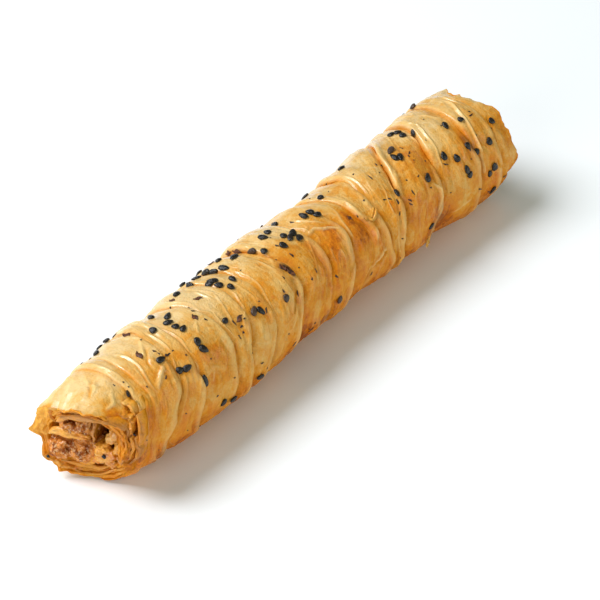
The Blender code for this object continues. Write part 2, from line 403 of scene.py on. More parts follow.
def ripple(seed, along, around):
    """Seeded noise over the sheet, about zero. along and around are the size of its features in mm."""
    white_noise = np.random.default_rng(seed).standard_normal((NOISE_ROWS, COLUMNS))
    waves_along = np.fft.fftfreq(NOISE_ROWS, NOISE_STEP)[:, None] * along
    waves_around = np.fft.rfftfreq(COLUMNS, GIRTH / COLUMNS)[None, :] * around
    smooth = np.exp(-2 * math.pi ** 2 * (waves_along ** 2 + waves_around ** 2))
    field = np.fft.irfft2(np.fft.rfft2(white_noise) * smooth, s=white_noise.shape)
    at = (row_along - NOISE_START) / NOISE_STEP
    low = at.astype(int)
    part = (at - low)[:, None]
    return (field[low] * (1 - part) + field[low + 1] * part) / field.std()


def bump_at(distance, middle, width):
    return np.exp(-((distance - middle) / width) ** 2)


def fall(distance, under, past, power):
    """1 in a crease: it falls steeply under the lip, and slowly on the side that the lip laps over."""
    return np.where(distance < 0, bump_at(distance, 0, under), np.exp(-(np.abs(distance) / past) ** power))


# The bare roll.
seen_from_back = 0.5 + 0.5 * np.cos(TURN + math.radians(50))[None, :]
bare = along_the_roll(BACK_RADIUS) * seen_from_back + along_the_roll(FRONT_RADIUS) * (1 - seen_from_back)
bare += 1.1 * round_the_roll((1, 0, 0, 0, 1), (-165, -130, 0, 138, 165), 8.0)  # where it rests
near_rim_radius = round_the_roll(near_radius, near_angles, 1.8) + wobble(3, 0.25, 3.0)
far_rim_radius = round_the_roll(far_radius, far_angles, 2.5) + wobble(4, 0.25, 3.0)
opening = np.where(row_band[:, None] == 0, (1 - across) ** 1.7, 0)
closing = smooth_step((sheet_x - far_edge + 3.5) / 3.5)
bare += (near_rim_radius - bare) * opening + (far_rim_radius - bare) * closing

# The folds: a crease's reach under its lip and past it in mm, and how it fades, also for the painted shade
# in it; and the lip beside it.
CREASE_SHAPE = (0.45, 2.7, 1.2)
SHADE_SHAPE = (0.35, 1.4, 1.1)
CREASE_DEPTH = 1.1
FOLD_STRENGTH = 1.1
LIP_OFF, LIP_WIDTH, LIP_HEIGHT = 1.3, 0.9, 0.32
relief = np.zeros_like(sheet_x)
lean = np.zeros_like(sheet_x)
crease = np.zeros_like(sheet_x)
crest = np.zeros_like(sheet_x)
for line, (_, depth, strength, changes_over) in zip(lines[1:], FOLDS):
    strong = FOLD_STRENGTH * round_the_roll(strength)
    strong *= 1 + wobble(int(line.mean() * 7) % 97 + 40, 0.15, 9.0)
    over_far_side = (TURN_DEG > changes_over) | ((TURN_DEG < -130) & (changes_over < 180))
    lap = round_the_roll(over_far_side, TURN_DEG, 9.0)
    far = sheet_x - line
    cut = lap * fall(far, *CREASE_SHAPE) + (1 - lap) * fall(-far, *CREASE_SHAPE)
    lip = lap * bump_at(far, -LIP_OFF, LIP_WIDTH) + (1 - lap) * bump_at(far, LIP_OFF, LIP_WIDTH)
    relief += depth * strong * (LIP_HEIGHT * lip - CREASE_DEPTH * cut)
    # A painted highlight along each lip.
    crest = np.maximum(crest, 0.7 * lip * np.minimum(strong, 1))
    lean += 0.7 * strong * (lap * bump_at(far, -0.6, 0.6) - (1 - lap) * bump_at(far, 0.6, 0.6))
    # Painted shade down in each crease.
    shade = lap * fall(far, *SHADE_SHAPE) + (1 - lap) * fall(-far, *SHADE_SHAPE)
    crease = np.maximum(crease, shade * np.minimum(strong, 1.0) * min(1.0, depth))
inside = (row_band > 0)[:, None]
wide = np.clip((edges[row_band + 1] - edges[row_band]) / 9, 0.25, 1)
relief += np.where(inside, 0.45 * wide * np.sin(math.pi * across ** 1.3) - 0.3, 0)


# Pinched ridges and small valleys that run their own way over the sheet: points as (mm along, degrees
# round), how high, how wide. A negative height is a valley.
RIDGES = (
    (((-78.5, -32), (-78.7, -9), (-79, 9), (-79.4, 25), (-80, 37)), 0.4, 0.4),
    (((-72.1, -24), (-72, -4), (-72.4, 12), (-73.4, 26), (-73.7, 39)), 0.5, 0.4),
    (((-74, 8), (-74.5, 26), (-75, 36)), 0.25, 0.25),
    (((-64, -10), (-65.3, -3), (-67.2, 2), (-68.4, 6)), 0.45, 0.7),
    (((-64.8, -1), (-67.1, 7), (-69.2, 14), (-70.2, 25)), -0.45, 0.5),
    (((-61.2, 20), (-62.6, 31), (-64, 47), (-66.6, 60)), 0.5, 0.35),
    (((-65.5, 23), (-68.2, 28), (-70.5, 32), (-72.8, 36)), 0.7, 0.6),
    (((-56.6, -11), (-55.5, 4), (-56.1, 23), (-55.3, 38)), 0.45, 0.32),
    (((-59.9, -11), (-60.4, -2), (-60.6, 7), (-60.8, 21)), 0.4, 0.3),
    (((-63.8, -32), (-63.8, -5)), 0.3, 0.4),
    (((-46.9, 9), (-47.7, 14), (-50.4, 25)), 0.5, 0.4),
    (((-43.8, -40), (-44.1, -28), (-42.6, -8), (-42.4, 1), (-41.1, 10), (-41.3, 35)), 0.4, 0.4),
    (((-83.1, -17), (-86.4, -9), (-89.2, -2), (-90.3, 2)), -0.5, 0.6),
    (((-33.5, -1), (-35, 8), (-37, 22), (-37.4, 44)), 0.55, 0.35),
    (((-36.5, -14), (-36, 2)), 0.4, 0.5),
    (((-30, 6), (-29.8, 14), (-30.7, 30), (-34.1, 42), (-35.7, 49)), 0.5, 0.35),
    (((-21.6, -3), (-21.9, 5), (-21.1, 18), (-22.4, 38), (-23, 61)), 0.4, 0.3),
    (((-14, -2), (-13.4, 22)), 0.5, 0.5),
    (((-12.3, 50), (-15.6, 68)), -0.7, 0.5),
    (((-9.4, 36), (-11.3, 50), (-14.1, 65)), -0.5, 0.4),
    (((-8.6, -41), (-9.5, -26), (-8.6, -18), (-7.3, 1)), 0.35, 0.35),
    (((-10, 0), (-11.4, 14)), 0.4, 0.6),
    (((5.6, -23), (5.8, -10), (7.6, 14)), 0.35, 0.4),
    (((-29.2, 10), (-30.4, 26)), 0.3, 0.3),
    (((8.8, -17), (9.8, -8), (10.9, 1), (14.7, 17)), 0.45, 0.4),
    (((5.5, 12), (9.5, 11), (13, 20), (16, 32)), 0.5, 0.4),
    (((20.9, -8), (20.4, 6), (18.6, 32), (18.3, 43)), 0.35, 0.4),
    (((8.1, 20), (8.4, 31), (6.6, 50), (5.2, 61)), -0.5, 0.35),
    (((8.5, 37), (6.8, 53)), 0.35, 0.35),
    (((16.5, 58), (13, 65), (10.3, 72), (8, 80)), -0.65, 0.45),
    (((26.5, 35), (29.2, 41), (30.7, 38), (30.9, 32)), 0.35, 0.3),
    (((36.8, -25), (35.5, 0), (34.4, 22)), 0.4, 0.4),
    (((28.5, 48), (26.5, 63)), 0.35, 0.35),
    (((30.1, 72), (28.1, 80), (23.1, 91)), -0.5, 0.35),
    (((19, 91), (25, 82), (30.5, 73)), 0.5, 0.5),
    (((25.3, -3), (26.6, 7), (26.1, 28), (26.6, 35)), 0.45, 0.4),
    (((53.6, -23), (49.8, -2), (46.2, 23), (44.6, 36)), 0.5, 0.5),
    (((21.1, 53), (20.3, 61)), -0.35, 0.3),
    (((15.1, -9), (19, 6), (19.3, 15)), 0.35, 0.35),
    (((-40.1, 11), (-40.9, 29), (-40.2, 46)), 0.4, 0.3),
    (((-40.2, 46), (-40.9, 52), (-42.3, 71)), -0.4, 0.4),
    (((-34.5, 64), (-38.3, 78)), 0.3, 0.3),
    (((-39.5, 54), (-39, 62)), 0.3, 0.3),
    (((-49.2, 67), (-50.2, 70), (-50.1, 76)), -0.35, 0.25),
    (((-56.5, 38), (-56.5, 45), (-59.6, 62)), 0.35, 0.35),
    (((-51.3, 56), (-53.2, 70)), 0.25, 0.3),
    (((75.2, -17), (77.2, -5), (78.4, 12)), 0.4, 0.4),
    (((70.8, -10), (68, 7), (64.5, 32), (64.2, 44)), 0.65, 0.5),
    (((86.6, -12), (84.6, 5), (82.4, 24), (80.9, 47), (80.3, 61)), 0.65, 0.45),
    (((88.4, -20), (87.7, 6)), 0.4, 0.5),
    (((80.4, 54), (80, 80)), 0.3, 0.35),
    (((92.3, 27), (90.3, 35), (89.4, 52)), -0.4, 0.4),
    (((85.9, 70), (86.5, 81), (89.2, 94)), -0.4, 0.4),
    (((56.5, 46), (58.3, 56), (57.7, 66), (53.9, 83)), 0.5, 0.4),
    (((71, 99), (75.6, 97), (76.5, 88)), -0.4, 0.35),
    (((63.6, 98), (72.9, 97)), 0.35, 0.4),
    (((70, -21), (71, 2)), 0.3, 0.4),
    (((65.6, -9), (65.1, 12)), 0.35, 0.35),
    (((40.5, 21), (36.4, 47)), 0.35, 0.35),
    (((36, 60), (35, 78), (36.5, 98)), 0.4, 0.5),
    (((-84, -25), (-86, -5), (-91, 2)), 0.35, 0.6),
    (((-83, 8), (-87, 22), (-90, 20)), 0.35, 0.7),
    (((-85.5, 40), (-86.3, 55), (-88, 72), (-89.5, 92)), 0.75, 0.35),
    (((-87.2, 46), (-87.8, 60), (-89.2, 76), (-90, 90)), 0.67, 0.3),
    (((-84.6, 52), (-86.2, 66), (-87.6, 84), (-88.6, 104)), -0.6, 0.35),
    (((-86.8, 38), (-87.4, 52), (-88.6, 66)), -0.75, 0.3),
    (((-85.8, 84), (-87.8, 74), (-89.4, 62)), 0.6, 0.35),
)


strayed_x = sheet_x + 0.3 * ripple(36, 1.5, 2.2)
strayed_arc = arc + 0.5 * ripple(37, 2.0, 2.0)


def off_path(points):
    """For every point of the sheet: its distance from a path, in mm, and its share of the way along it."""
    best = np.full(sheet_x.shape, 1e9)
    where = np.zeros(sheet_x.shape)
    places = [np.array((x, math.radians(angle) * ARC_RADIUS)) for x, angle in points]
    for k, (start, stop) in enumerate(zip(places, places[1:])):
        step = stop - start
        share = ((strayed_x - start[0]) * step[0] + (strayed_arc - start[1]) * step[1]) / (step @ step)
        share = np.clip(share, 0, 1)
        gap = np.hypot(strayed_x - start[0] - step[0] * share, strayed_arc - start[1] - step[1] * share)
        nearer = gap < best
        best[nearer] = gap[nearer]
        where[nearer] = (k + share[nearer]) / (len(places) - 1)
    return best, where


uneven = ripple(38, 2.5, 2.5)
for points, height, width in RIDGES:
    gap, where = off_path(points)
    taper = smooth_step(np.minimum(where, 1 - where) * 4 + 0.1) * (1 + 0.35 * uneven)
    relief += height * taper * (bump_at(gap, 0, width) - 0.35 * bump_at(gap, 0, 2.6 * width))
    shape = taper * bump_at(gap, 0, 0.8 * width)
    # Ridges get a painted highlight along them, and valleys painted crease shade.
    if height > 0:
        crest = np.maximum(crest, 1.4 * shape)
    else:
        crease = np.maximum(crease, 0.7 * shape)

# Fine wrinkles run round the roll with the folds. By the near mouth blisters puff the snout, the sheet's
# top, and the cone at its front is drawn in smooth.
snout = smooth_step((-78 - sheet_x) / 6) * smooth_step((75 - np.abs(TURN_DEG + 12)[None, :]) / 30)
cone = smooth_step((TURN_DEG - 32) / 10) * smooth_step((118 - TURN_DEG) / 15)
cone = smooth_step((-82 - sheet_x) / 3) * cone
patches = smooth_step(0.35 + 0.45 * ripple(20, 4.0, 6.0)) * (1 - cone)
relief += patches * (0.1 * ripple(21, 0.9, 6.0) + 0.07 * ripple(22, 0.5, 3.0))
relief += 0.25 * ripple(23, 2.2, 3.5)
for seed, along, around, height in ((26, 1.8, 6.0, 0.28), (27, 1.1, 3.5, 0.2), (28, 0.9, 3.0, 0.14)):
    vein = bump_at(ripple(seed, along, around), 0, 0.13) * (1 - cone)
    vein *= smooth_step(0.2 + 0.5 * ripple(seed + 10, 4.0, 5.0))
    relief += height * vein
    # A painted highlight along each raised wrinkle.
    crest = np.maximum(crest, 0.4 * vein)
front = round_the_roll((0, 0, 1, 1, 0), (-60, 20, 50, 110, 140), 8.0) * (1 - cone)
relief += front * (0.17 * ripple(39, 0.7, 2.2) + 0.08 * ripple(40, 0.35, 1.2))
blisters = 0.24 * ripple(41, 2.6, 2.6) + 0.15 * ripple(24, 1.6, 2.0) + 0.13 * ripple(25, 0.5, 0.9)
relief += snout * (1 - cone) * blisters

# How much each place is baked, with painted shade towards the underside, where the sheet is charred, and the
# deep colour of its torn rims, which is painted crease shade.
TOASTED_PLACES = (  # mm along, degrees round, half its length in mm, half its width in mm, how much
    (-80, 40, 4, 8, .2), (-79, 60, 5, 10, .12), (10, 25, 5, 7, .3), (23, 45, 6, 6, .3),
    (22, 18, 3, 5, .25), (57, 90, 6, 8, .35), (78, 35, 2.5, 6, .6), (-88, 75, 5, 13, .45),
    (-90, 35, 3, 6, .3), (-94, -75, 2.5, 9, .45), (-94.5, -48, 1.2, 4, .3), (58, 15, 5, 8, .2),
    (-50, 45, 5, 8, .1), (-48, 70, 5, 10, .12), (-8, 15, 4, 6, .25), (45, 60, 5, 9, .1),
    (5, 75, 8, 8, .15), (92, 60, 5, 14, -.08), (-88, -10, 7, 14, -.05), (-60, 5, 8, 10, -.1),
    (-35, 5, 8, 8, -.1), (0, -10, 6, 6, -.15), (70, 0, 6, 8, -.15), (40, -10, 6, 8, -.12),
    (-30, 72, 3, 8, -.12), (-65, 12, 3, 3, -.2),
)
CHARRED_PLACES = (  # in the same way
    (-10.6, 22.5, 0.9, 1.3, .8), (-9.8, 31, 0.9, 1.2, .8), (-10.6, 27, 1.5, 2.8, .45),
    (-36, 38, 1.4, 2.0, .35), (78, 45, .8, 2.0, .7),
)


def spots(places):
    """The sum of soft round places on the sheet."""
    total = np.zeros_like(sheet_x)
    for x, angle, half_length, half_width, amount in places:
        round_off = (arc - math.radians(angle) * ARC_RADIUS) / half_width
        total += amount * np.exp(-((sheet_x - x) / half_length) ** 2 - round_off ** 2)
    return total


# The last term is painted shade, deeper and more orange towards the underside.
toast = spots(TOASTED_PLACES) + 0.05 * ripple(31, 3.0, 5.0) + 0.4 * smooth_step((TURN_DEG - 75) / 45)
# Paler on the back and top and deeper on the front, and paler still on the back towards the near mouth.
toast += round_the_roll((0, -0.14, -0.1, 0.06, 0.15, 0), (-150, -90, -20, 20, 60, 150), 12.0)
toast += round_the_roll((0, 0, 0.08, 0.05, 0), (-150, -35, 10, 110, 150), 12.0)
pale_back = round_the_roll((0, 1, 1, 0.2, 0), (-150, -90, -10, 30, 100), 12.0)
toast -= 0.2 * pale_back * smooth_step((-15 - sheet_x) / 30)
char = np.clip(spots(CHARRED_PLACES) * (1 + 0.8 * ripple(32, 0.4, 0.6)), 0, 1)
from_rim = np.minimum(sheet_x - near_edge, far_edge - sheet_x)
rim_tone = round_the_roll((0.5, 0, 0, 0.5, 0.6), (-90, -40, 28, 50, 180), 6.0)
rim_tone = rim_tone * np.where(sheet_x < 0, 1, 0.25)
# The torn rims get the same painted crease shade, strongest at the back and from the front round to the
# underside.
crease = np.maximum(crease, rim_tone * bump_at(from_rim, 0, 0.9))
crease = np.clip(crease + 0.12 * ripple(33, 0.5, 2.5) * crease, 0, 1)
# Raised places get a painted highlight.
crest = np.clip(crest + 0.35 * smooth_step((relief - 0.3) / 0.6), 0, 1.4)
crest *= 1 - 0.8 * cone
flap = round_the_roll((0, 1, 1, 0, 0), (-118, -100, -60, -30, 100), 5.0)
flap = flap * smooth_step((near_edge + 4.5 - sheet_x) / 2.5)
# A painted glow of light through the flared flap by the near mouth.
thin = 0.75 * flap * smooth_step(0.6 + 0.4 * ripple(34, 1.2, 1.2))


def on_roll(x, radius):
    """Points in metres from mm along and mm out, flattened softly where the roll rests."""
    height = AXIS_HEIGHT + radius * np.cos(TURN)
    height = 0.5 * (height + np.sqrt(height ** 2 + 0.25))
    return np.stack([x + 0 * radius, -radius * np.sin(TURN) + 0 * x, height], -1) * MM


sheet = on_roll(sheet_x + lean, bare + relief)


def new_piece(name, points, faces, material, **felt):
    """A mesh object from points and faces, with a value at each point for every name in felt."""
    mesh = bpy.data.meshes.new(name)
    mesh.from_pydata(points.reshape(-1, 3).tolist(), [], faces)
    mesh.polygons.foreach_set("use_smooth", [True] * len(mesh.polygons))
    for key, values in felt.items():
        layer = mesh.attributes.new(key, "FLOAT", "POINT")
        layer.data.foreach_set("value", np.asarray(values, np.float32).ravel())
    mesh.materials.append(material)
    made = bpy.data.objects.new(name, mesh)
    bpy.context.scene.collection.objects.link(made)
    return made


def grid_faces(rows, columns, join_rows, join_columns):
    """Quads over a grid of points, wrapped round in either direction if asked."""
    i = np.arange(rows if join_rows else rows - 1)[:, None]
    j = np.arange(columns if join_columns else columns - 1)[None, :]
    after_i, after_j = (i + 1) % rows, (j + 1) % columns
    corners = [i * columns + j, i * columns + after_j, after_i * columns + after_j, after_i * columns + j]
    return np.stack([c + 0 * i + 0 * j for c in corners], -1).reshape(-1, 4).tolist()


def closed_tube(rows, columns):
    """A grid's faces, wrapped round, with a cap on each end."""
    last = (rows - 1) * columns
    caps = [list(range(columns))[::-1], [last + k for k in range(columns)]]
    return grid_faces(rows, columns, False, True) + caps


# Inside each mouth the torn edges of the rolled leaves stand one within another, from the rim in to the
# lip round the filling: angle, mm along, and mm from the axis.
NEAR_LIP = (
    (-157, -88.3, 12.2), (-137, -91.8, 13.6), (-122, -93.3, 15.0), (-105, -93.2, 14.8),
    (-85, -93.0, 13.6), (-70, -93, 11.8), (-45, -93.2, 10.2), (-20, -93.4, 10.2), (5, -93.2, 11.2),
    (20, -91.8, 11.2), (36, -90.2, 10.6), (50, -89.4, 10.2), (65, -89.4, 9.8), (80, -89.8, 9.5),
    (100, -90, 9.4), (125, -88.6, 9.6), (150, -86.6, 10.4), (178, -86.0, 11.2),
)
FAR_LIP = ((-180, 92, 10.4), (-90, 93, 10.8), (0, 92.2, 10.2), (90, 93.4, 10.9))
LEAF_RINGS = 46
CHANNEL_RADIUS = 9.3
CHANNEL_STEPS = (0.7, 1.8, 4.0, 8.0, 14.0)  # mm in from the lip


def torn_leaves(edge_x, edge_radius, lip, layers, seed, outward, flared):
    """Rings of points from a rim in to its lip, over the standing edges of that many leaves.

    Gives the rings' places along the roll and their radius, how creased each point is, and the lip's own
    place and radius. outward is -1 where the mouth opens to -x, and 1 where it opens to +x. flared is 1
    where the outermost sheet flares out and shows its plain inside.
    """
    angles, lip_x, lip_radius = zip(*lip)
    lip_x, lip_radius = round_the_roll(lip_x, angles, 4.0), round_the_roll(lip_radius, angles, 4.0)
    share = np.linspace(0, 1, LEAF_RINGS)[:, None]
    phase = share * layers + TURN_DEG / 360
    phase = phase + 0.3 * wobble(seed, 1.0, 10.0) + 0.1 * wobble(seed + 1, 1.0, 3.0)
    groove = smooth_step((np.abs(phase % 1 - 0.75) * -1 + 0.2) / 0.16) * smooth_step(share / 0.1)
    stand = np.zeros_like(phase)
    for k in range(layers + 4):
        ragged = 0.3 * wobble(seed + 2 + k, 1.0, 12.0) + 0.1 * wobble(seed + 30 + k, 1.0, 4.0) - 0.3
        stand = np.where(np.floor(phase + 0.25) == k - 2, ragged, stand)
    settled = smooth_step(share / 0.12) * (1 - flared * (1 - smooth_step((share - 0.72) / 0.15)))
    groove = groove * settled
    waves = ((9, 14, 0), (-14, 9, 2), (17, 21, 4))
    crumple = sum(np.sin(a * share + b * TURN + c) for a, b, c in waves) / 3 * share ** 0.5
    x = edge_x + (lip_x - edge_x) * smooth_step(share * 1.2)
    x = x + outward * (stand * settled * (1 - groove) - 0.8 * groove + 0.8 * flared * crumple)
    radius = edge_radius + (lip_radius - edge_radius) * share
    return x, radius, groove, lip_x, lip_radius


FELT = ("toast", "crease", "crest", "char", "oil", "thin", "along")


def inner_wall(points, toasted, shaded, clear=0.0):
    """A band of the tube's inner skin: its points, and their values in the order of FELT."""
    blank = np.zeros(points.shape[:2])
    along = points[..., 0] / MM
    return [points, blank + toasted, blank + shaded, blank, blank, blank + 0.15, blank + clear, along]


def mouth(edge_x, edge_radius, lip, seed, outward, flared=0.0):
    """The bands from a rim in over its leaves and down the channel, or back where outward is -1."""
    x, radius, groove, lip_x, lip_radius = torn_leaves(edge_x, edge_radius, lip, 3, seed, outward, flared)
    groove = groove[2:]
    depth = np.array(CHANNEL_STEPS)[:, None]
    narrowing = (lip_radius - CHANNEL_RADIUS) * (1 - depth / CHANNEL_STEPS[-1])
    # The standing leaves get painted crease shade in their grooves and a painted glow on their edges, more
    # where the rim flares; the channel wall gets painted crease shade all over.
    bands = [inner_wall(on_roll(x[2:], radius[2:]), 0.36 - 0.11 * flared, 0.1 + 0.8 * groove,
                        (0.12 + 0.5 * flared) * (1 - groove)),
             inner_wall(on_roll(lip_x - outward * depth, CHANNEL_RADIUS + narrowing), 0.4, 0.6)]
    if outward < 0:
        bands = [[values[::-1] for values in band] for band in bands[::-1]]
    return bands


NEAR_FLARE = round_the_roll((0, 1, 1, 0, 0), (-118, -100, -50, -25, 100), 6.0)
golden = baked_dough("baked_sheet", 0.33)
oil = round_the_roll((0.2, 1.0, 1.0, 0.5, 0.15, 0.15), (-130, -80, -5, 30, 60, 180), 10.0)
oil = oil * (1 - 0.6 * snout)
starts = [0] + [int(np.argmax(row_band == k)) for k in PARTINGS] + [len(row_band) - 1]
for name, start, stop, channel_shares in zip(LENGTHS, starts, starts[1:], CHANNEL_SHARES):
    rows = slice(start, stop + 1)
    bands = [[sheet[rows], toast[rows], crease[rows], crest[rows], char[rows], oil[rows], thin[rows],
              row_along[rows, None] + 0 * TURN]]
    if name == "far_folds":
        bands += mouth(far_edge, far_rim_radius, FAR_LIP, 60, 1)
    channel = [on_roll(sheet_x[stop] + (sheet_x[start] - sheet_x[stop]) * share, CHANNEL_RADIUS + 0 * TURN)
               for share in channel_shares]
    # The channel wall gets painted crease shade all over.
    bands.append(inner_wall(np.array(channel), 0.4, 0.6))
    if name == "near_folds":
        bands += mouth(near_edge, near_rim_radius, NEAR_LIP, 70, -1, NEAR_FLARE)
    points, *fields = [np.concatenate(parts) for parts in zip(*bands)]
    piece = new_piece(name, points, grid_faces(len(points), COLUMNS, True, True), golden,
                      **dict(zip(FELT, fields)))
    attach(piece, "root")
    if name == "near_folds":
        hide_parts("pastry")


# ---------------------------------------------------------------- The leaves in the near mouth
# Soft folded edges of dough that run between and round the mince: the rolled inner fold under the top
# edge, the tongue between the two lumps, and smaller torn bits at the right.

# Each leaf: points of its front edge in mm, half its thickness along it, how far in it goes, its sideways
# slant, how baked it is, and how pale it is at its two ends.
LEAVES = (
    (((-94.9, 8.8, 23), (-95, 6.7, 25.2), (-94.9, 3.5, 27.1), (-94.6, -0.3, 28.7), (-93.9, -3.5, 29.5),
      (-93, -6.4, 29.8), (-91.6, -9.2, 29.4), (-90.2, -11, 28.2), (-89.2, -11.6, 26.2)),
     (1.3, 1.6, 1.3, 0.9, 0.6, 0.4), 9, 0, 0.8, (0.35, 0)),
    (((-95.2, 7.4, 26.1), (-95.1, 1.7, 29.2), (-94.2, -3.6, 30), (-92.6, -8, 29.6), (-90.8, -10.8, 28.2)),
     (0.2, 0.3, 0.3, 0.2), 5, 0, 0.8, (0, 0)),
    (((-95.1, 6.8, 27.5), (-95.3, 4.2, 29.2), (-95.2, 1.8, 30.5), (-94.8, -0.7, 30.8),
      (-94.2, -2.6, 30.5), (-93.4, -4.6, 30.2), (-91.6, -7.6, 29.6)),
     (0.4, 0.55, 0.5, 0.35, 0.3), 4, 0, 0.6, (0, 0)),
    (((-93.5, 13, 15.4), (-93.7, 11.3, 17.2), (-93.5, 9, 18.3), (-93, 7.5, 17.7), (-92.6, 5, 17.8),
      (-92.1, 2.5, 18), (-91.7, -0.6, 18.8)), (0.9, 1.05, 1.0, 0.85, 0.7, 0.5), 7, 0, 0.45, (0.45, 0)),
    (((-92.9, 7, 19.2), (-92.6, 3.5, 19.5), (-92.1, -0.8, 20.3)), (0.4, 0.6, 0.4), 4, 0, 0.4, (0, 0)),
    (((-92.6, -3.6, 28), (-92, -3, 25.1), (-91.3, -2.2, 21.2), (-90.6, -1.8, 17.5)),
     (0.3, 0.3, 0.35, 0.4), 9, 0.25, 0.7, (0, 0)),
    (((-91.4, -1.2, 26), (-91.3, -0.6, 22.6), (-91, -1, 19.6)), (0.5, 0.6, 0.5), 2.5, 0.5, 0.9, (0, 0)),
    (((-91.3, -2, 17.3), (-90.9, -3.3, 16.5), (-90.9, -5.1, 18), (-90.6, -6.8, 19)),
     (0.5, 0.7, 0.6), 5, 0, 0.35, (0, 0)),
    (((-88.8, -10.5, 27.3), (-88.6, -10.6, 24.5), (-89.3, -10.8, 22.1), (-89.7, -11.3, 19.8),
      (-89.2, -9.8, 16.8)), (0.4, 0.6, 0.5, 0.4), 4, 0, 0.6, (0, 0)),
    (((-88.1, -11.6, 26.8), (-88.7, -12.6, 25.1), (-88.9, -12.4, 22), (-90, -12.8, 20),
      (-90.2, -13, 17.6), (-89.1, -9.9, 12.8)), (0.3, 0.5, 0.45, 0.4, 0.3), 4, 0, 0.7, (0, 0)),
    (((-88.3, -13.7, 24.1), (-88.3, -14.2, 22.2), (-88.6, -14.2, 20.1), (-89.6, -13.6, 17.9),
      (-88.8, -10.6, 13.1)), (0.3, 0.45, 0.5, 0.4, 0.3), 4, 0, 0.55, (0, 0)),
    (((-87.6, -14.4, 24), (-87.2, -14.8, 20.5), (-87.3, -15.2, 17.5), (-88.3, -14.4, 16),
      (-89.2, -12.9, 14.4)), (0.3, 0.45, 0.5, 0.4, 0.3), 4, 0, 0.65, (0, 0)),
    (((-81, -9.7, 31.2), (-81.6, -11.3, 29.9), (-82.4, -12.2, 28.1), (-83.3, -13.1, 26.3),
      (-84.3, -14.2, 23.3), (-85.9, -15.1, 19.1), (-87.2, -15.3, 16.8)),
     (0.2, 0.35, 0.35, 0.3, 0.2), 3, 0, 0.4, (0.5, 0)),
    (((-84.5, -12.8, 29.8), (-85, -13.5, 28.1), (-85.6, -14.2, 26.1), (-86.1, -14.6, 24.1),
      (-86.8, -14.9, 21.8), (-87.4, -15, 19.4), (-87.8, -14.8, 17.1), (-88.1, -14.2, 15.2)),
     (0.4, 0.7, 0.85, 0.8, 0.7, 0.5), 4, 0, 0.45, (0, 0)),
    (((-85, -7.5, 31.9), (-84.4, -8.6, 31.2), (-84.6, -10, 30.4), (-84.2, -11.2, 29.4),
      (-84.2, -12.3, 27.9)), (0.3, 0.5, 0.45, 0.3), 3, 0, 0.4, (0.5, 0)),
    (((-87.8, -9, 30.3), (-87.7, -10.2, 29.2), (-86.9, -11.5, 28.5), (-86, -12.6, 27.1)),
     (0.3, 0.45, 0.3), 3, 0, 0.6, (0, 0)),
    (((-86.1, -10.9, 29.6), (-86.5, -11.8, 28.4), (-87.1, -12.4, 26.6), (-88, -12.9, 24.8)),
     (0.3, 0.45, 0.3), 3, 0, 0.5, (0.2, 0)),
    (((-95, 13.5, 8), (-93.9, 11.8, 5.7), (-92.9, 10, 4.5), (-92.2, 8.3, 4.2), (-91, 6.4, 4.5)),
     (0.3, 0.5, 0.6, 0.5, 0.3), 4, 0, 0.4, (0.1, 0.1)),
    (((-92.2, 9.9, 6), (-91, 7.2, 5), (-89.6, 4.5, 4.6), (-88.3, 1.5, 4.6), (-87.6, -0.9, 5.6),
      (-87.2, -4.1, 6.6)), (0.4, 0.8, 0.8, 0.7, 0.4), 4, 0, 0.45, (0.1, 0)),
    (((-90.8, 6.4, 3.2), (-89.4, 4.2, 2.2), (-87.8, 1.6, 2.2), (-86.8, -1.8, 3.6), (-87, -6.9, 7.9),
      (-88.6, -12, 12.6)), (0.3, 0.5, 0.5, 0.5, 0.3), 4, 0, 0.45, (0, 0)),
    (((-90.6, 12.4, 4.6), (-90.2, 9.4, 5.4), (-89.6, 5.2, 6.6), (-89, 1.4, 8), (-88.6, -1.8, 9.6)),
     (0.5, 0.9, 0.9, 0.5), 4, 0, 0.45, (0, 0)),
    (((-92, 13.4, 26), (-93.9, 10.9, 26.9), (-93.8, 11.9, 24.4), (-93.2, 12, 21.7), (-93, 11.1, 20.6)),
     (0.3, 0.45, 0.3), 4, 0, 0.6, (0, 0)),
)
LEAF_STEPS = 70
NOSE = np.radians(np.linspace(-90, 90, 11))


def smooth_path(points, count, blur):
    """Points evenly along a path through the given ones, with its corners rounded. blur is in steps."""
    points = np.array(points, float)
    run = np.concatenate([[0], np.cumsum(np.linalg.norm(np.diff(points, axis=0), axis=1))])
    even = np.stack([np.interp(np.linspace(0, run[-1], count), run, points[:, k]) for k in range(3)], 1)
    reach = int(3 * blur)
    lead = 2 * even[:1] - even[reach:0:-1]
    trail = 2 * even[-1:] - even[-2:-reach - 2:-1]
    wide = np.concatenate([lead, even, trail])
    return np.stack([np.convolve(wide[:, k], bell(reach, blur), "valid") for k in range(3)], 1)


def soft_noise(random, count, blur):
    """Seeded uneven values along a path, about zero."""
    values = np.convolve(random.standard_normal(count + 80), bell(40, blur), "valid")
    return values / values.std()


def unit(vectors):
    """The vectors, each made 1 long."""
    return vectors / np.linalg.norm(vectors, axis=-1, keepdims=True)


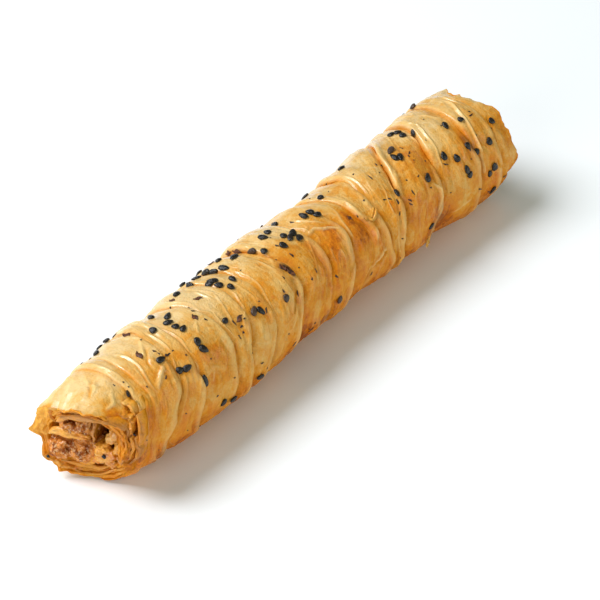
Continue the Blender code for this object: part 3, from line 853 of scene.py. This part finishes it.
def leaf(points, halves, depth, slant, baked, pales, seed):
    """A closed leaf with a rounded front edge along the points, going back into the roll."""
    random = np.random.default_rng(seed)
    front = smooth_path(points, LEAF_STEPS, 4)
    front += 0.14 * np.stack([soft_noise(random, LEAF_STEPS, 5) for _ in range(3)], 1)
    back_way = unit(np.array((1.0, slant, 0.0)))
    out_way = unit(np.cross(np.gradient(front, axis=0), back_way))
    share = np.linspace(0, 1, LEAF_STEPS)
    half = np.interp(share, np.linspace(0, 1, len(halves)), halves)
    thick = half * (0.3 + 0.7 * np.sin(math.pi * share) ** 0.5)
    thick *= 1 + 0.14 * soft_noise(random, LEAF_STEPS, 5)
    section = [(d, 0.0, -(1 - 0.7 * d)) for d in (1.0, 0.7, 0.4, 0.2)]
    section += [(0.0, 1.1 * (1 - math.cos(a)), math.sin(a)) for a in NOSE]
    section += [(d, 0.0, 1 - 0.7 * d) for d in (0.2, 0.4, 0.7, 1.0)]
    rows = []
    for deep, curve, outward in section:
        streak = 1 + 0.10 * soft_noise(random, LEAF_STEPS, 12)
        inward = deep * depth + curve * half + 0.1 * soft_noise(random, LEAF_STEPS, 4) * (curve > 0)
        rows.append(front + back_way * inward[:, None] + out_way * (outward * thick * streak)[:, None])
    grid = np.stack(rows, 1)
    along = np.stack([share * 0 + outward * 3 for _, _, outward in section], 1)
    inner = np.stack([share * 0 + smooth_step(deep * depth / 4) for deep, _, _ in section], 1)
    pale = np.interp(share, (0, 1), pales)[:, None] * (1 - inner)
    return grid, closed_tube(LEAF_STEPS, len(section)), along, inner, pale, baked + 0 * inner


def joined(parts):
    """Several (points, faces, values ...) as one."""
    start, points, faces, rest = 0, [], [], []
    for part in parts:
        flat = part[0].reshape(-1, 3)
        points.append(flat)
        faces += [[corner + start for corner in face] for face in part[1]]
        rest.append([np.ravel(v) for v in part[2:]])
        start += len(flat)
    return (np.concatenate(points), faces, *[np.concatenate(v) for v in zip(*rest)])


def face_out(piece):
    """Turns every face of the piece's closed parts outward."""
    parts = bmesh.new()
    parts.from_mesh(piece.data)
    bmesh.ops.recalc_face_normals(parts, faces=parts.faces)
    parts.to_mesh(piece.data)
    parts.free()


leaves = [leaf(*values, 80 + k) for k, values in enumerate(LEAVES)]
points, faces, along, inner, pale, baked = joined(leaves)
# Each leaf gets painted crease shade deeper inside the roll, and a painted glow towards its front edge.
piece = new_piece("mouth_leaves", points * MM, faces, baked_dough("leaf_dough", 0.25), along=along,
                  toast=baked - 0.6 * pale, crease=0.1 + 0.8 * inner, crest=pale,
                  oil=0.5 + 0 * inner, thin=0.25 * (1 - inner))
face_out(piece)
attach(piece, "root")


# ---------------------------------------------------------------- The torn flaps
# Loose ends of the sheet: a rounded tongue that hangs from its lower edge, and a corner torn up from the
# front. Each is one thin leaf, and its root lies in the sheet.

def on_sheet(x, angle):
    """The point of the sheet at mm along and degrees round, the way it faces, and the way along it."""
    column = int(np.argmin(np.abs(TURN_DEG - angle)))
    row = int(np.clip(np.argmin(np.abs(sheet_x[:, column] - x)), 3, len(sheet_x) - 4))
    along_way = sheet[row + 3, column] - sheet[row - 3, column]
    round_way = sheet[row, (column + 2) % COLUMNS] - sheet[row, column - 2]
    return sheet[row, column], unit(np.cross(along_way, round_way) * -1), unit(along_way)


FLAP_STEPS = 30  # points along the root
FLAP_ROWS = 12  # from the root to the free edge, on each face
FLAP_THICKNESS = 0.14


def flap_of_dough(root, edge, puff, seed):
    """A closed thin leaf from a root line to its free edge, and how free each of its points is."""
    random = np.random.default_rng(seed)
    root, edge = smooth_path(root, FLAP_STEPS, 2), smooth_path(edge, FLAP_STEPS, 1.5)
    edge += 0.1 * np.stack([soft_noise(random, FLAP_STEPS, 1.5) for _ in range(3)], 1)
    way = unit(np.cross(np.gradient(root, axis=0), edge - root))
    middle = FLAP_STEPS // 2
    if way[middle] @ (root[middle] - (root[middle, 0], 0, AXIS_HEIGHT)) < 0:
        way = -way
    share = np.linspace(0, 1, FLAP_ROWS)
    rows = []
    for side, shares in ((1, share), (-1, share[::-1])):
        for t in shares:
            curl = puff * math.sin(math.pi * t ** 0.7)
            curl = curl + 0.16 * soft_noise(random, FLAP_STEPS, 4) * (1 if t < 1 else 0.3)
            thickness = side * FLAP_THICKNESS * (1.2 - t)
            rows.append(root + (edge - root) * t + way * (curl + thickness)[:, None])
    free = np.concatenate([share, share[::-1]]) + np.zeros((FLAP_STEPS, 1))
    return np.stack(rows, 1), closed_tube(FLAP_STEPS, 2 * FLAP_ROWS), free


def above_sheet(*places):
    """Points from mm along, degrees round and mm above the sheet there."""
    found = [(on_sheet(x, turn), height) for x, turn, height in places]
    return [point / MM + up * height for (point, up, _), height in found]


tongue = flap_of_dough(
    above_sheet((52, 108, -0.3), (54.3, 110, -0.3), (56.6, 108, -0.3)),
    above_sheet((52.4, 118, 0.3), (52.8, 126, 1.3), (54, 130, 1.9), (55.5, 127, 1.5), (56.4, 118, 0.4)),
    0.3, 120)
corner = flap_of_dough(
    above_sheet((26.3, 33, -0.3), (28.6, 32, -0.3), (31.2, 31, -0.3)),
    above_sheet((26.6, 37, 0.2), (29.2, 42.5, 0.5), (30.8, 39, 0.5), (31.3, 34, 0.2)),
    0.35, 121)
points, faces, free = joined([tongue, corner])
# Each flap gets painted crease shade at its root, and towards its free edge a paler tone with a painted
# highlight and a painted glow.
piece = new_piece("torn_flaps", points * MM, faces, baked_dough("torn_dough", 0.4), toast=0.1 * free,
                  crease=0.3 * (1 - free), crest=0.4 * free, thin=0.3 * free, oil=0.3 * free)
face_out(piece)
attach(piece, "root")


# ---------------------------------------------------------------- The soft bits in the near mouth
# Crumbs of soaked dough and fat at the right of the mouth, under and beside the hollow: rounded, yellow
# and shiny.

ball = bmesh.new()
bmesh.ops.create_icosphere(ball, subdivisions=2, radius=1.0)
ball_points = np.array([vertex.co for vertex in ball.verts])
ball_faces = [[vertex.index for vertex in face.verts] for face in ball.faces]
ball.free()


def crumbs(lumps, seed, per_mm2, sizes):
    """Ellipsoids covered in pressed crumbs, as many to a square mm and of such sizes."""
    random = np.random.default_rng(seed)
    parts = []
    for middle, half in lumps:
        half = np.array(half)
        parts.append((ball_points * (half - 0.5 * sizes[0]) + middle, ball_faces))
        area = 4 * math.pi * (np.prod(half) ** (2 / 3))
        for _ in range(int(area * per_mm2)):
            way = unit(random.standard_normal(3))
            size = random.uniform(*sizes)
            size = size * np.array((1, random.uniform(0.6, 1.4), random.uniform(0.6, 1.1)))
            turn = np.linalg.qr(random.standard_normal((3, 3)))[0]
            place = way * (half - random.uniform(0.1, 0.5)) + middle
            parts.append(((ball_points * size) @ turn + place, ball_faces))
    return joined(parts)


def realised(thing):
    """The object's mesh, as its modifiers leave it."""
    return bpy.data.meshes.new_from_object(thing.evaluated_get(bpy.context.evaluated_depsgraph_get()))


def fused(name, points, faces, material, step):
    """Overlapping solids as one closed skin, with points a step apart."""
    rough = new_piece(name + "_parts", points, faces, material)
    remesh = rough.modifiers.new("skin", "REMESH")
    remesh.mode = "VOXEL"
    remesh.voxel_size = step
    remesh.use_smooth_shade = True
    skin = realised(rough)
    bpy.data.objects.remove(rough)
    made = bpy.data.objects.new(name, skin)
    skin.name = name
    bpy.context.scene.collection.objects.link(made)
    return made


SOFT_BITS = (  # middle in mm, and half its size along, across and up
    ((-89.6, -3.2, 15.0), (2.2, 1.9, 1.9)), ((-89.4, -5.4, 16.6), (2.2, 1.5, 1.4)),
    ((-88.9, -7.4, 15.4), (2.2, 1.4, 1.9)), ((-88.5, -5.6, 13.2), (2.2, 2.0, 1.8)),
    ((-88.2, -2.6, 11.6), (2.4, 2.4, 1.8)), ((-86.8, -8.8, 13.0), (2.0, 1.5, 2.2)),
    ((-87.4, 0.5, 9.2), (2.4, 2.6, 1.6)), ((-86.1, -4.2, 9.2), (2.4, 3.0, 1.6)),
    ((-87.6, -8.6, 17.6), (2.2, 1.5, 2.4)), ((-88.7, -6.6, 20.6), (2.0, 1.9, 1.9)),
    ((-88.5, -8.0, 22.6), (1.9, 1.7, 2.1)),
)
points, faces = crumbs(SOFT_BITS, 93, 0.4, (0.3, 0.6))
piece = fused("soft_bits", points * MM, faces, baked_dough("soaked_dough", 0.58), 0.25 * MM)
spot = np.array([vertex.co for vertex in piece.data.vertices]) / MM
low = smooth_step((13 - spot[:, 2]) / 3)
side = smooth_step((-5.5 - spot[:, 1]) / 2) * smooth_step((17.5 - spot[:, 2]) / 2)
high = smooth_step((spot[:, 2] - 18) / 2)
# Darker low down and on the right side, paler up high, and a painted glow on the rest.
felt = {"toast": 0.2 * low + 0.1 * side - 0.1 * high, "oil": 0.9 + 0 * low,
        "thin": 0.25 * (1 - high) * (1 - side)}
for key, values in felt.items():
    piece.data.attributes.new(key, "FLOAT", "POINT").data.foreach_set("value", values.astype(np.float32))
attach(piece, "root")


# ---------------------------------------------------------------- The minced filling
# Cooked minced meat in its own fat: crumbs pressed together, shiny where they are wet. Two lumps show in
# the near mouth and one in the far one, and a plain strand of it runs between them through the roll.

NEAR_LUMPS = (  # middle in mm, and half its size along, across and up
    ((-88.4, 6.6, 20.4), (4.8, 5.0, 2.7)), ((-88.0, 1.4, 22.6), (4.8, 3.2, 3.4)),
    ((-89.8, 10.4, 10.6), (4.8, 4.2, 3.9)), ((-86.8, 5.4, 10.9), (4.8, 5.2, 4.9)),
    ((-84.9, 1.0, 12.8), (4.4, 3.2, 3.2)),
)
FAR_LUMPS = (
    ((88.0, 0.6, 16.6), (4.8, 8.9, 8.3)), ((89.0, -3.2, 20.0), (4.6, 4.6, 4.4)),
    ((88.8, 4.6, 13.4), (4.4, 4.0, 3.8)),
)
CRUMBS_PER_MM2 = 0.9
CRUMB_SIZES = (0.35, 1.0)
FRESH_MEAT = tint(216, 138, 64)
BROWN_MEAT = tint(134, 66, 20)
PALE_FAT_AND_HIGHLIGHT = tint(232, 186, 124)

material, wire = new_finish("cooked_mince")
place = wire.on_piece()
coarse, crumb, fibre = place.grain(2.6, 3.0), place.grain(0.7, 3.0, 0.6), place.grain(0.22, 2.0)
colour = coarse.between(0.4, 0.62).mixed(FRESH_MEAT, BROWN_MEAT)
# The raised crumbs are painted paler: partly pale fat, partly a painted highlight.
colour = (crumb.between(0.52, 0.64) * 0.6).mixed(colour, PALE_FAT_AND_HIGHLIGHT)
colour = (fibre.between(0.3, 0.45) * -0.6 + 0.6).mixed(colour, BROWN_MEAT)
set_surface(material, Base_Color=colour, Roughness=0.45, Normal=(crumb + fibre * 0.5).bumped(0.9, 0.35 * MM),
            Specular_IOR_Level=0.0, Coat_Weight=crumb.between(0.42, 0.58), Coat_Roughness=0.1,
            Subsurface_Weight=0.15, Subsurface_Radius=(1.0, 0.6, 0.3), Subsurface_Scale=0.5 * MM)

for name, lumps, seed in (("near_mince", NEAR_LUMPS, 91), ("far_mince", FAR_LUMPS, 96)):
    points, faces = crumbs(lumps, seed, CRUMBS_PER_MM2, CRUMB_SIZES)
    piece = fused(name, points * MM, faces, material, 0.28 * MM)
    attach(piece, "root")

CORE_FROM, CORE_TO, CORE_RADIUS = -74.0, 86.0, 8.4
CORE_ROWS, CORE_COLUMNS = 120, 48
core_turn = np.linspace(0, 2 * math.pi, CORE_COLUMNS, endpoint=False)
core_x = np.linspace(CORE_FROM, CORE_TO, CORE_ROWS)[:, None]
ends = np.sqrt(np.clip(np.minimum(core_x - CORE_FROM, CORE_TO - core_x) / 6, 0.01, 1))
core_radius = (CORE_RADIUS + 0.4 * np.sin(core_x * 1.3 + 2 * np.sin(core_turn * 3))) * ends
core = np.stack([core_x + 0 * core_turn, core_radius * np.cos(core_turn),
                 AXIS_HEIGHT + core_radius * np.sin(core_turn)], -1)
piece = new_piece("filling_core", core * MM, closed_tube(CORE_ROWS, CORE_COLUMNS), material)
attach(piece, "root")
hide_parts("filling")


# ---------------------------------------------------------------- The sesame seeds
# Black sesame seeds stuck to the oiled dough, mostly along the top: glossy drops with a pointed end. Each
# lies flat on the sheet where the picture shows it, with a few more on the back and three in and by the
# near mouth.

SEEDS = (  # mm along the roll, degrees round it, which way it points in degrees, and its length in mm
    (-71, -45, 44, 3.6), (-64.7, -50, 147, 2.3), (-52.1, -29, 61, 3.6), (-58.5, -8, 88, 2.7),
    (-50.4, -13, 22, 3.6), (-52.9, -5, 147, 3.1), (-53.1, 3, 127, 2.3), (-52.1, 9, 18, 3),
    (-52.6, 28, 53, 2.8), (-52.6, 36, 115, 3.2), (-39.8, -29, 14, 3), (-65.7, 19, 171, 3.1),
    (-62.5, 37, 172, 2.3), (-60.5, 40, 177, 3.1), (-80.8, 24, 26, 3.6), (6.3, -32, 73, 3.6),
    (-1.4, -18, 97, 2.7), (-5.1, -14, 119, 3), (-0.7, -1, 153, 2.5), (2.6, 1, 34, 3.6), (0.2, 4, 37, 3.2),
    (2.3, 10, 18, 3.6), (-4.3, 7, 117, 2.8), (-10.3, -14, 114, 3.6), (-9.4, -3, 90, 2.3),
    (-16.6, -21, 12, 3.6), (-18.1, -36, 135, 2.3), (-21.9, -19, 105, 3.6), (-23, -29, 107, 3.2),
    (-23.5, -38, 102, 3.4), (-22, -54, 62, 3.6), (-29.5, -33, 141, 3.2), (-25.5, 0, 79, 3.1),
    (-29.9, -12, 134, 3.5), (-31.2, -13, 126, 2.7), (-30.3, -4, 124, 2.8), (-28.6, 5, 101, 2.6),
    (-32.4, -43, 165, 2.3), (-32.5, -32, 94, 2.9), (-39.3, 28, 17, 2.3), (-29.1, 37, 36, 3.2),
    (-26.8, 42, 107, 3.1), (-16.9, 47, 64, 2.7), (63.8, -26, 170, 2.5), (65.2, -21, 136, 2.7),
    (64.3, -13, 105, 2.3), (67.5, -5, 38, 2.4), (54.9, -6, 19, 3.6), (52.7, 4, 90, 3.6),
    (54.1, 8, 48, 3.6), (55.6, 42, 51, 3.1), (42.1, 34, 48, 3.6), (52, 93, 29, 2.7), (66.8, 35, 68, 2.9),
    (70.1, 44, 85, 3.1), (75.9, 13, 65, 2.9), (81.3, 18, 156, 2.3), (91.2, 37, 125, 2.3),
    (76.3, 41, 77, 2.3), (79.2, 53, 53, 2.9), (85.3, 51, 58, 2.9), (71.4, 59, 90, 2.8),
    (72.2, 67, 42, 2.7), (82.4, 83, 106, 2.5), (84.2, 77, 97, 3.4), (84.2, 108, 73, 3.3),
    (40.4, -32, 174, 2.6), (24, -18, 169, 2.3), (14, -6, 120, 2.6), (11.4, -7, 91, 3.6),
    (14.5, 2, 150, 2.5), (5.3, 93, 73, 3), (-56.9, 61, 81, 3.6), (-50.5, 102, 30, 2.9),
    (-46.5, 106, 161, 3.6), (-33.2, 109, 161, 3.5), (83.3, -43, 137, 2.3), (-66, -58, 0, 2.8),
    (-48, -66, 67, 3.2), (-37, -82, 134, 3), (-21, -60, 21, 2.9), (-9, -95, 88, 3.3), (6, -62, 155, 3.1),
    (17, -75, 42, 2.9), (29, -58, 109, 3.3), (44, -88, 176, 3.2), (58, -64, 63, 3), (70, -72, 130, 2.8),
    (83, -60, 17, 3.2),
)
LOOSE_SEEDS = (  # middle in mm, the way it points, the way its flat side faces, and its length in mm
    ((-90.4, -5.1, 14.0), (0.3, -0.5, -0.9), (-0.8, -0.4, 0.3), 2.1),
    ((-86.7, -13.6, 24.4), (0.3, -0.9, -0.2), (-0.6, -0.6, 0.4), 1.5),
    ((-94.5, 12.8, 7.5), (0.2, -0.8, -0.5), (-0.8, 0.3, -0.4), 1.2),
)
SEED_LENGTH = 3.1  # mm, of the shape that the copies are scaled from
SEED_LIFT = 0.32 * MM  # from the sheet to the middle of a seed


def scatter(name, shape, places, sizes, lift, seed, material, loose=()):
    """Copies of a shape lying on the sheet at each place, and at the loose places, as one piece."""
    random = np.random.default_rng(seed)
    points, ways = [], []
    for x, angle, heading, _ in places:
        point, up, ahead = on_sheet(x, angle)
        if up @ (point - np.array((point[0], 0, AXIS_HEIGHT * MM))) < 0:
            up = -up
        points.append(point + up * lift)
        heading = math.radians(heading + 180 * random.integers(2))
        flat_way = ahead * math.cos(heading) + np.cross(up, ahead) * math.sin(heading)
        ways.append((flat_way + up * random.uniform(-0.12, 0.12), up))
    for middle, tip, facing, _ in loose:
        points.append(np.array(middle) * MM)
        ways.append((np.array(tip), np.array(facing)))
    turns = []
    for tip, facing in ways:
        nose = unit(tip)
        over = unit(facing - nose * (facing @ nose))
        turns.append(Matrix(np.stack([nose, np.cross(over, nose), over], 1).tolist()).to_euler())
    shades = random.uniform(0, 1, (len(points), 1))

    marks = bpy.data.meshes.new(name + "_places")
    marks.from_pydata([tuple(point) for point in points], [], [])
    for key, kind, field, values in (("turn", "FLOAT_VECTOR", "vector", turns),
                                     ("size", "FLOAT_VECTOR", "vector", sizes),
                                     ("shade", "FLOAT", "value", shades)):
        layer = marks.attributes.new(key, kind, "POINT")
        layer.data.foreach_set(field, np.array(values, np.float32).ravel())
    holder = bpy.data.objects.new(name, marks)
    bpy.context.scene.collection.objects.link(holder)

    tree = bpy.data.node_groups.new(name, "GeometryNodeTree")
    labels = (("Places", "Geometry"), ("Shape", "Object"), ("Finish", "Material"))
    sockets = [tree.interface.new_socket(label, in_out="INPUT", socket_type="NodeSocket" + kind)
               for label, kind in labels]
    tree.interface.new_socket("Copies", in_out="OUTPUT", socket_type="NodeSocketGeometry")
    inputs = tree.nodes.new("NodeGroupInput")
    wire = Wire(tree)
    places_in, shape_in, finish_in = [Wire(tree, inputs.outputs[k]) for k in range(3)]
    model = wire.node("GeometryNodeObjectInfo", {"transform_space": "ORIGINAL"}, {"Object": shape_in},
                      output="Geometry")
    turn, size = [wire.node("GeometryNodeInputNamedAttribute", {"data_type": "FLOAT_VECTOR"}, {"Name": key})
                  for key in ("turn", "size")]
    copies = wire.node("GeometryNodeInstanceOnPoints", None,
                       {"Points": places_in, "Instance": model, "Rotation": turn, "Scale": size})
    real = wire.node("GeometryNodeRealizeInstances", None, {"Geometry": copies})
    finished = wire.node("GeometryNodeSetMaterial", None, {"Geometry": real, "Material": finish_in})
    tree.links.new(finished.socket, tree.nodes.new("NodeGroupOutput").inputs[0])

    maker = holder.modifiers.new("copies", "NODES")
    maker.node_group = tree
    maker[sockets[1].identifier] = shape
    maker[sockets[2].identifier] = material
    made = realised(holder)
    holder.modifiers.clear()
    holder.data = made
    made.materials.clear()
    made.materials.append(material)
    made.polygons.foreach_set("use_smooth", [True] * len(made.polygons))
    bpy.data.objects.remove(shape)
    return holder


def small_shape(name, points):
    """An object to copy, from the ball's points pushed into shape, in mm."""
    mesh = bpy.data.meshes.new(name)
    mesh.from_pydata((points * MM).tolist(), [], ball_faces)
    return bpy.data.objects.new(name, mesh)


u, v, w = ball_points.T
teardrop = np.stack([1.6 * u, (1.0 - 0.3 * u) * v, 0.5 * w * (1 - 0.15 * u)], 1)

material, wire = new_finish("black_sesame")
hull = wire.on_piece().grain(0.5, 3.0, 0.6)
colour = hull.between(0.35, 0.7).mixed(tint(11, 8, 6), tint(38, 30, 25))
colour = (wire.felt("shade").between(0.84, 0.9) * 0.8).mixed(colour, tint(78, 56, 42))
set_surface(material, Base_Color=colour, Roughness=0.22, Specular_IOR_Level=0.45,
            Normal=hull.bumped(1.0, 0.25 * MM))

chance = np.random.default_rng(101)  # for the sizes of the seeds, the flakes and the flecks
sizes = [[seed[3] / SEED_LENGTH, 1.04, 1.0] for seed in SEEDS]
sizes += [[seed[3] / SEED_LENGTH, seed[3] / 4, 0.8] for seed in LOOSE_SEEDS]
sizes = np.array(sizes) * chance.uniform(0.9, 1.1, (len(sizes), 3))
piece = scatter("sesame_seeds", small_shape("seed", teardrop), SEEDS, sizes, SEED_LIFT, 102, material,
                loose=LOOSE_SEEDS)
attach(piece, "root")


# ---------------------------------------------------------------- The burnt flakes
# Thin brown flakes of dough that came loose in the oven and stuck to the sheet: curled, dull and dark at
# the edges.

BROWN_FLAKES = (  # as for the seeds
    (-62.7, -29, 86, 3.6), (-69, 3, 72, 2.8), (-38.9, -7, 143, 3.2), (-46.5, 8, 90, 2.6),
    (-35.1, 35, 19, 2.9), (-10.7, 22, 94, 2.9), (-9.7, 31, 111, 3.3), (22.5, 24, 111, 2),
    (-42.7, -28, 109, 1.8), (8.4, -59, 71, 3.6), (-10, -35, 78, 3.6), (-9.9, -46, 90, 2.5),
    (-19, -44, 109, 2.8),
)
FLAKE_LENGTH = 3.0
FLAKE_LIFT = 0.12 * MM

flake = np.stack([1.5 * u * (1 + 0.25 * np.sin(7 * v + 2)),
                  (0.8 + 0.3 * np.cos(5 * u)) * v + 0.25 * np.sin(4 * u),
                  0.16 * w + 0.22 * u * v + 0.18 * u ** 2], 1)
material, wire = new_finish("burnt_dough")
cloud = wire.on_piece().grain(0.6, 3.0).between(0.4, 0.6)
set_surface(material, Base_Color=cloud.mixed(tint(50, 26, 14), tint(112, 62, 32)), Roughness=0.55,
            Specular_IOR_Level=0.4)
sizes = np.array([[place[3] / FLAKE_LENGTH, 0.8, 1.0] for place in BROWN_FLAKES])
sizes *= chance.uniform(0.85, 1.2, sizes.shape)
piece = scatter("burnt_flakes", small_shape("flake", flake), BROWN_FLAKES, sizes, FLAKE_LIFT, 103, material)
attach(piece, "root")


# ---------------------------------------------------------------- The burnt flecks
# Slivers of charred dough and dust of broken seeds, almost black and about a millimetre long. The larger
# ones lie where the picture shows them, and the dust lies anywhere but underneath.

FLECKS = (  # as for the seeds
    (-62.9, 18, 9, 1.1), (-62.2, 20, 172, 2.6), (-68.3, 34, 36, 1.4), (-81.9, 8, 82, 1),
    (-79.2, 19, 70, 0.8), (-63.9, -8, 156, 0.6), (-60.3, 20, 166, 0.7), (-74.9, 30, 77, 0.6),
    (-44.4, -4, 44, 2.6), (-44.8, 3, 128, 1.4), (-44.9, -24, 139, 0.8), (-64.7, 14, 86, 0.9),
    (-64.9, 10, 113, 1.4), (-60.7, -51, 89, 2.6), (-5.6, 3, 105, 1.5), (-4.6, 18, 89, 2.1),
    (-44.5, 16, 105, 1), (-37.1, 34, 96, 2.2), (-25.2, 45, 57, 2.4), (-16.4, 40, 84, 1.2),
    (-13.4, 30, 89, 1.5), (-8.9, 11, 127, 0.6), (-20.7, -3, 119, 0.5), (-1.3, 44, 76, 1.3),
    (-4.3, 48, 24, 0.9), (7.7, -12, 102, 1.7), (-11.4, 51, 66, 1.8), (-25.5, 33, 147, 0.5),
    (58.7, -1, 101, 1.5), (58.1, 10, 30, 1.7), (56.6, 13, 49, 1.4), (46.2, -3, 69, 1.2),
    (48.4, -2, 22, 2.6), (52.8, 35, 16, 1.6), (38.7, 35, 123, 1.4), (37, 32, 148, 1.4),
    (40.3, 42, 71, 1.6), (38.8, 52, 43, 1.6), (47.5, 44, 84, 1.8), (45.4, 48, 122, 1.3),
    (45.1, 52, 123, 1.4), (54.5, 51, 150, 0.8), (86, 21, 178, 1.7), (76.5, 46, 57, 1.3),
    (76.9, 93, 146, 2.2), (63.1, 72, 153, 0.9), (82.1, 39, 79, 1.3), (65.9, 43, 141, 1.6),
    (39.5, 6, 76, 2.4), (29.8, 36, 147, 0.9), (48.8, 30, 109, 0.6), (90.9, 102, 177, 2.1),
    (82.3, 106, 138, 2.3), (25.7, 28, 64, 0.9), (31, 19, 16, 0.7), (37.5, -10, 137, 0.6),
    (5.4, 64, 109, 1.4), (22.7, 97, 62, 1.3), (-36.1, 42, 173, 1.3), (-36.5, 47, 51, 0.9),
    (-38.6, 47, 120, 0.8), (-38.5, 50, 100, 0.7), (-34.1, 38, 145, 0.8), (-17.1, 101, 38, 2.5),
    (-7.2, 108, 28, 2), (-33.4, 89, 171, 1.4), (-54.2, 85, 24, 0.9), (-51.9, 47, 107, 0.6),
    (-45.8, 80, 151, 0.6), (-78.2, -41, 13, 1.2), (-73.2, -47, 160, 0.9),
)
FLECK_LENGTH = 1.8
FLECK_LIFT = 0.06 * MM
DUST_COUNT = 60

sliver = np.stack([0.9 * u, (0.24 - 0.1 * u) * v + 0.1 * u ** 2 + 0.08 * np.sin(4 * u), 0.12 * w], 1)
material, wire = new_finish("burnt_dust")
cloud = wire.on_piece().grain(0.4, 2.0).between(0.4, 0.6)
set_surface(material, Base_Color=cloud.mixed(tint(28, 20, 16), tint(70, 40, 24)), Roughness=0.5,
            Specular_IOR_Level=0.4)
dust = [[chance.uniform(low, high) for low, high in ((-90, 92), (-125, 120), (0, 180), (0.3, 0.8))]
        for _ in range(DUST_COUNT)]
places = [*FLECKS, *dust]
sizes = np.array([[place[3] / FLECK_LENGTH, 1.0, 1.0] for place in places])
sizes *= chance.uniform(0.8, 1.3, sizes.shape)
piece = scatter("burnt_flecks", small_shape("fleck", sliver), places, sizes, FLECK_LIFT, 104, material)
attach(piece, "root")
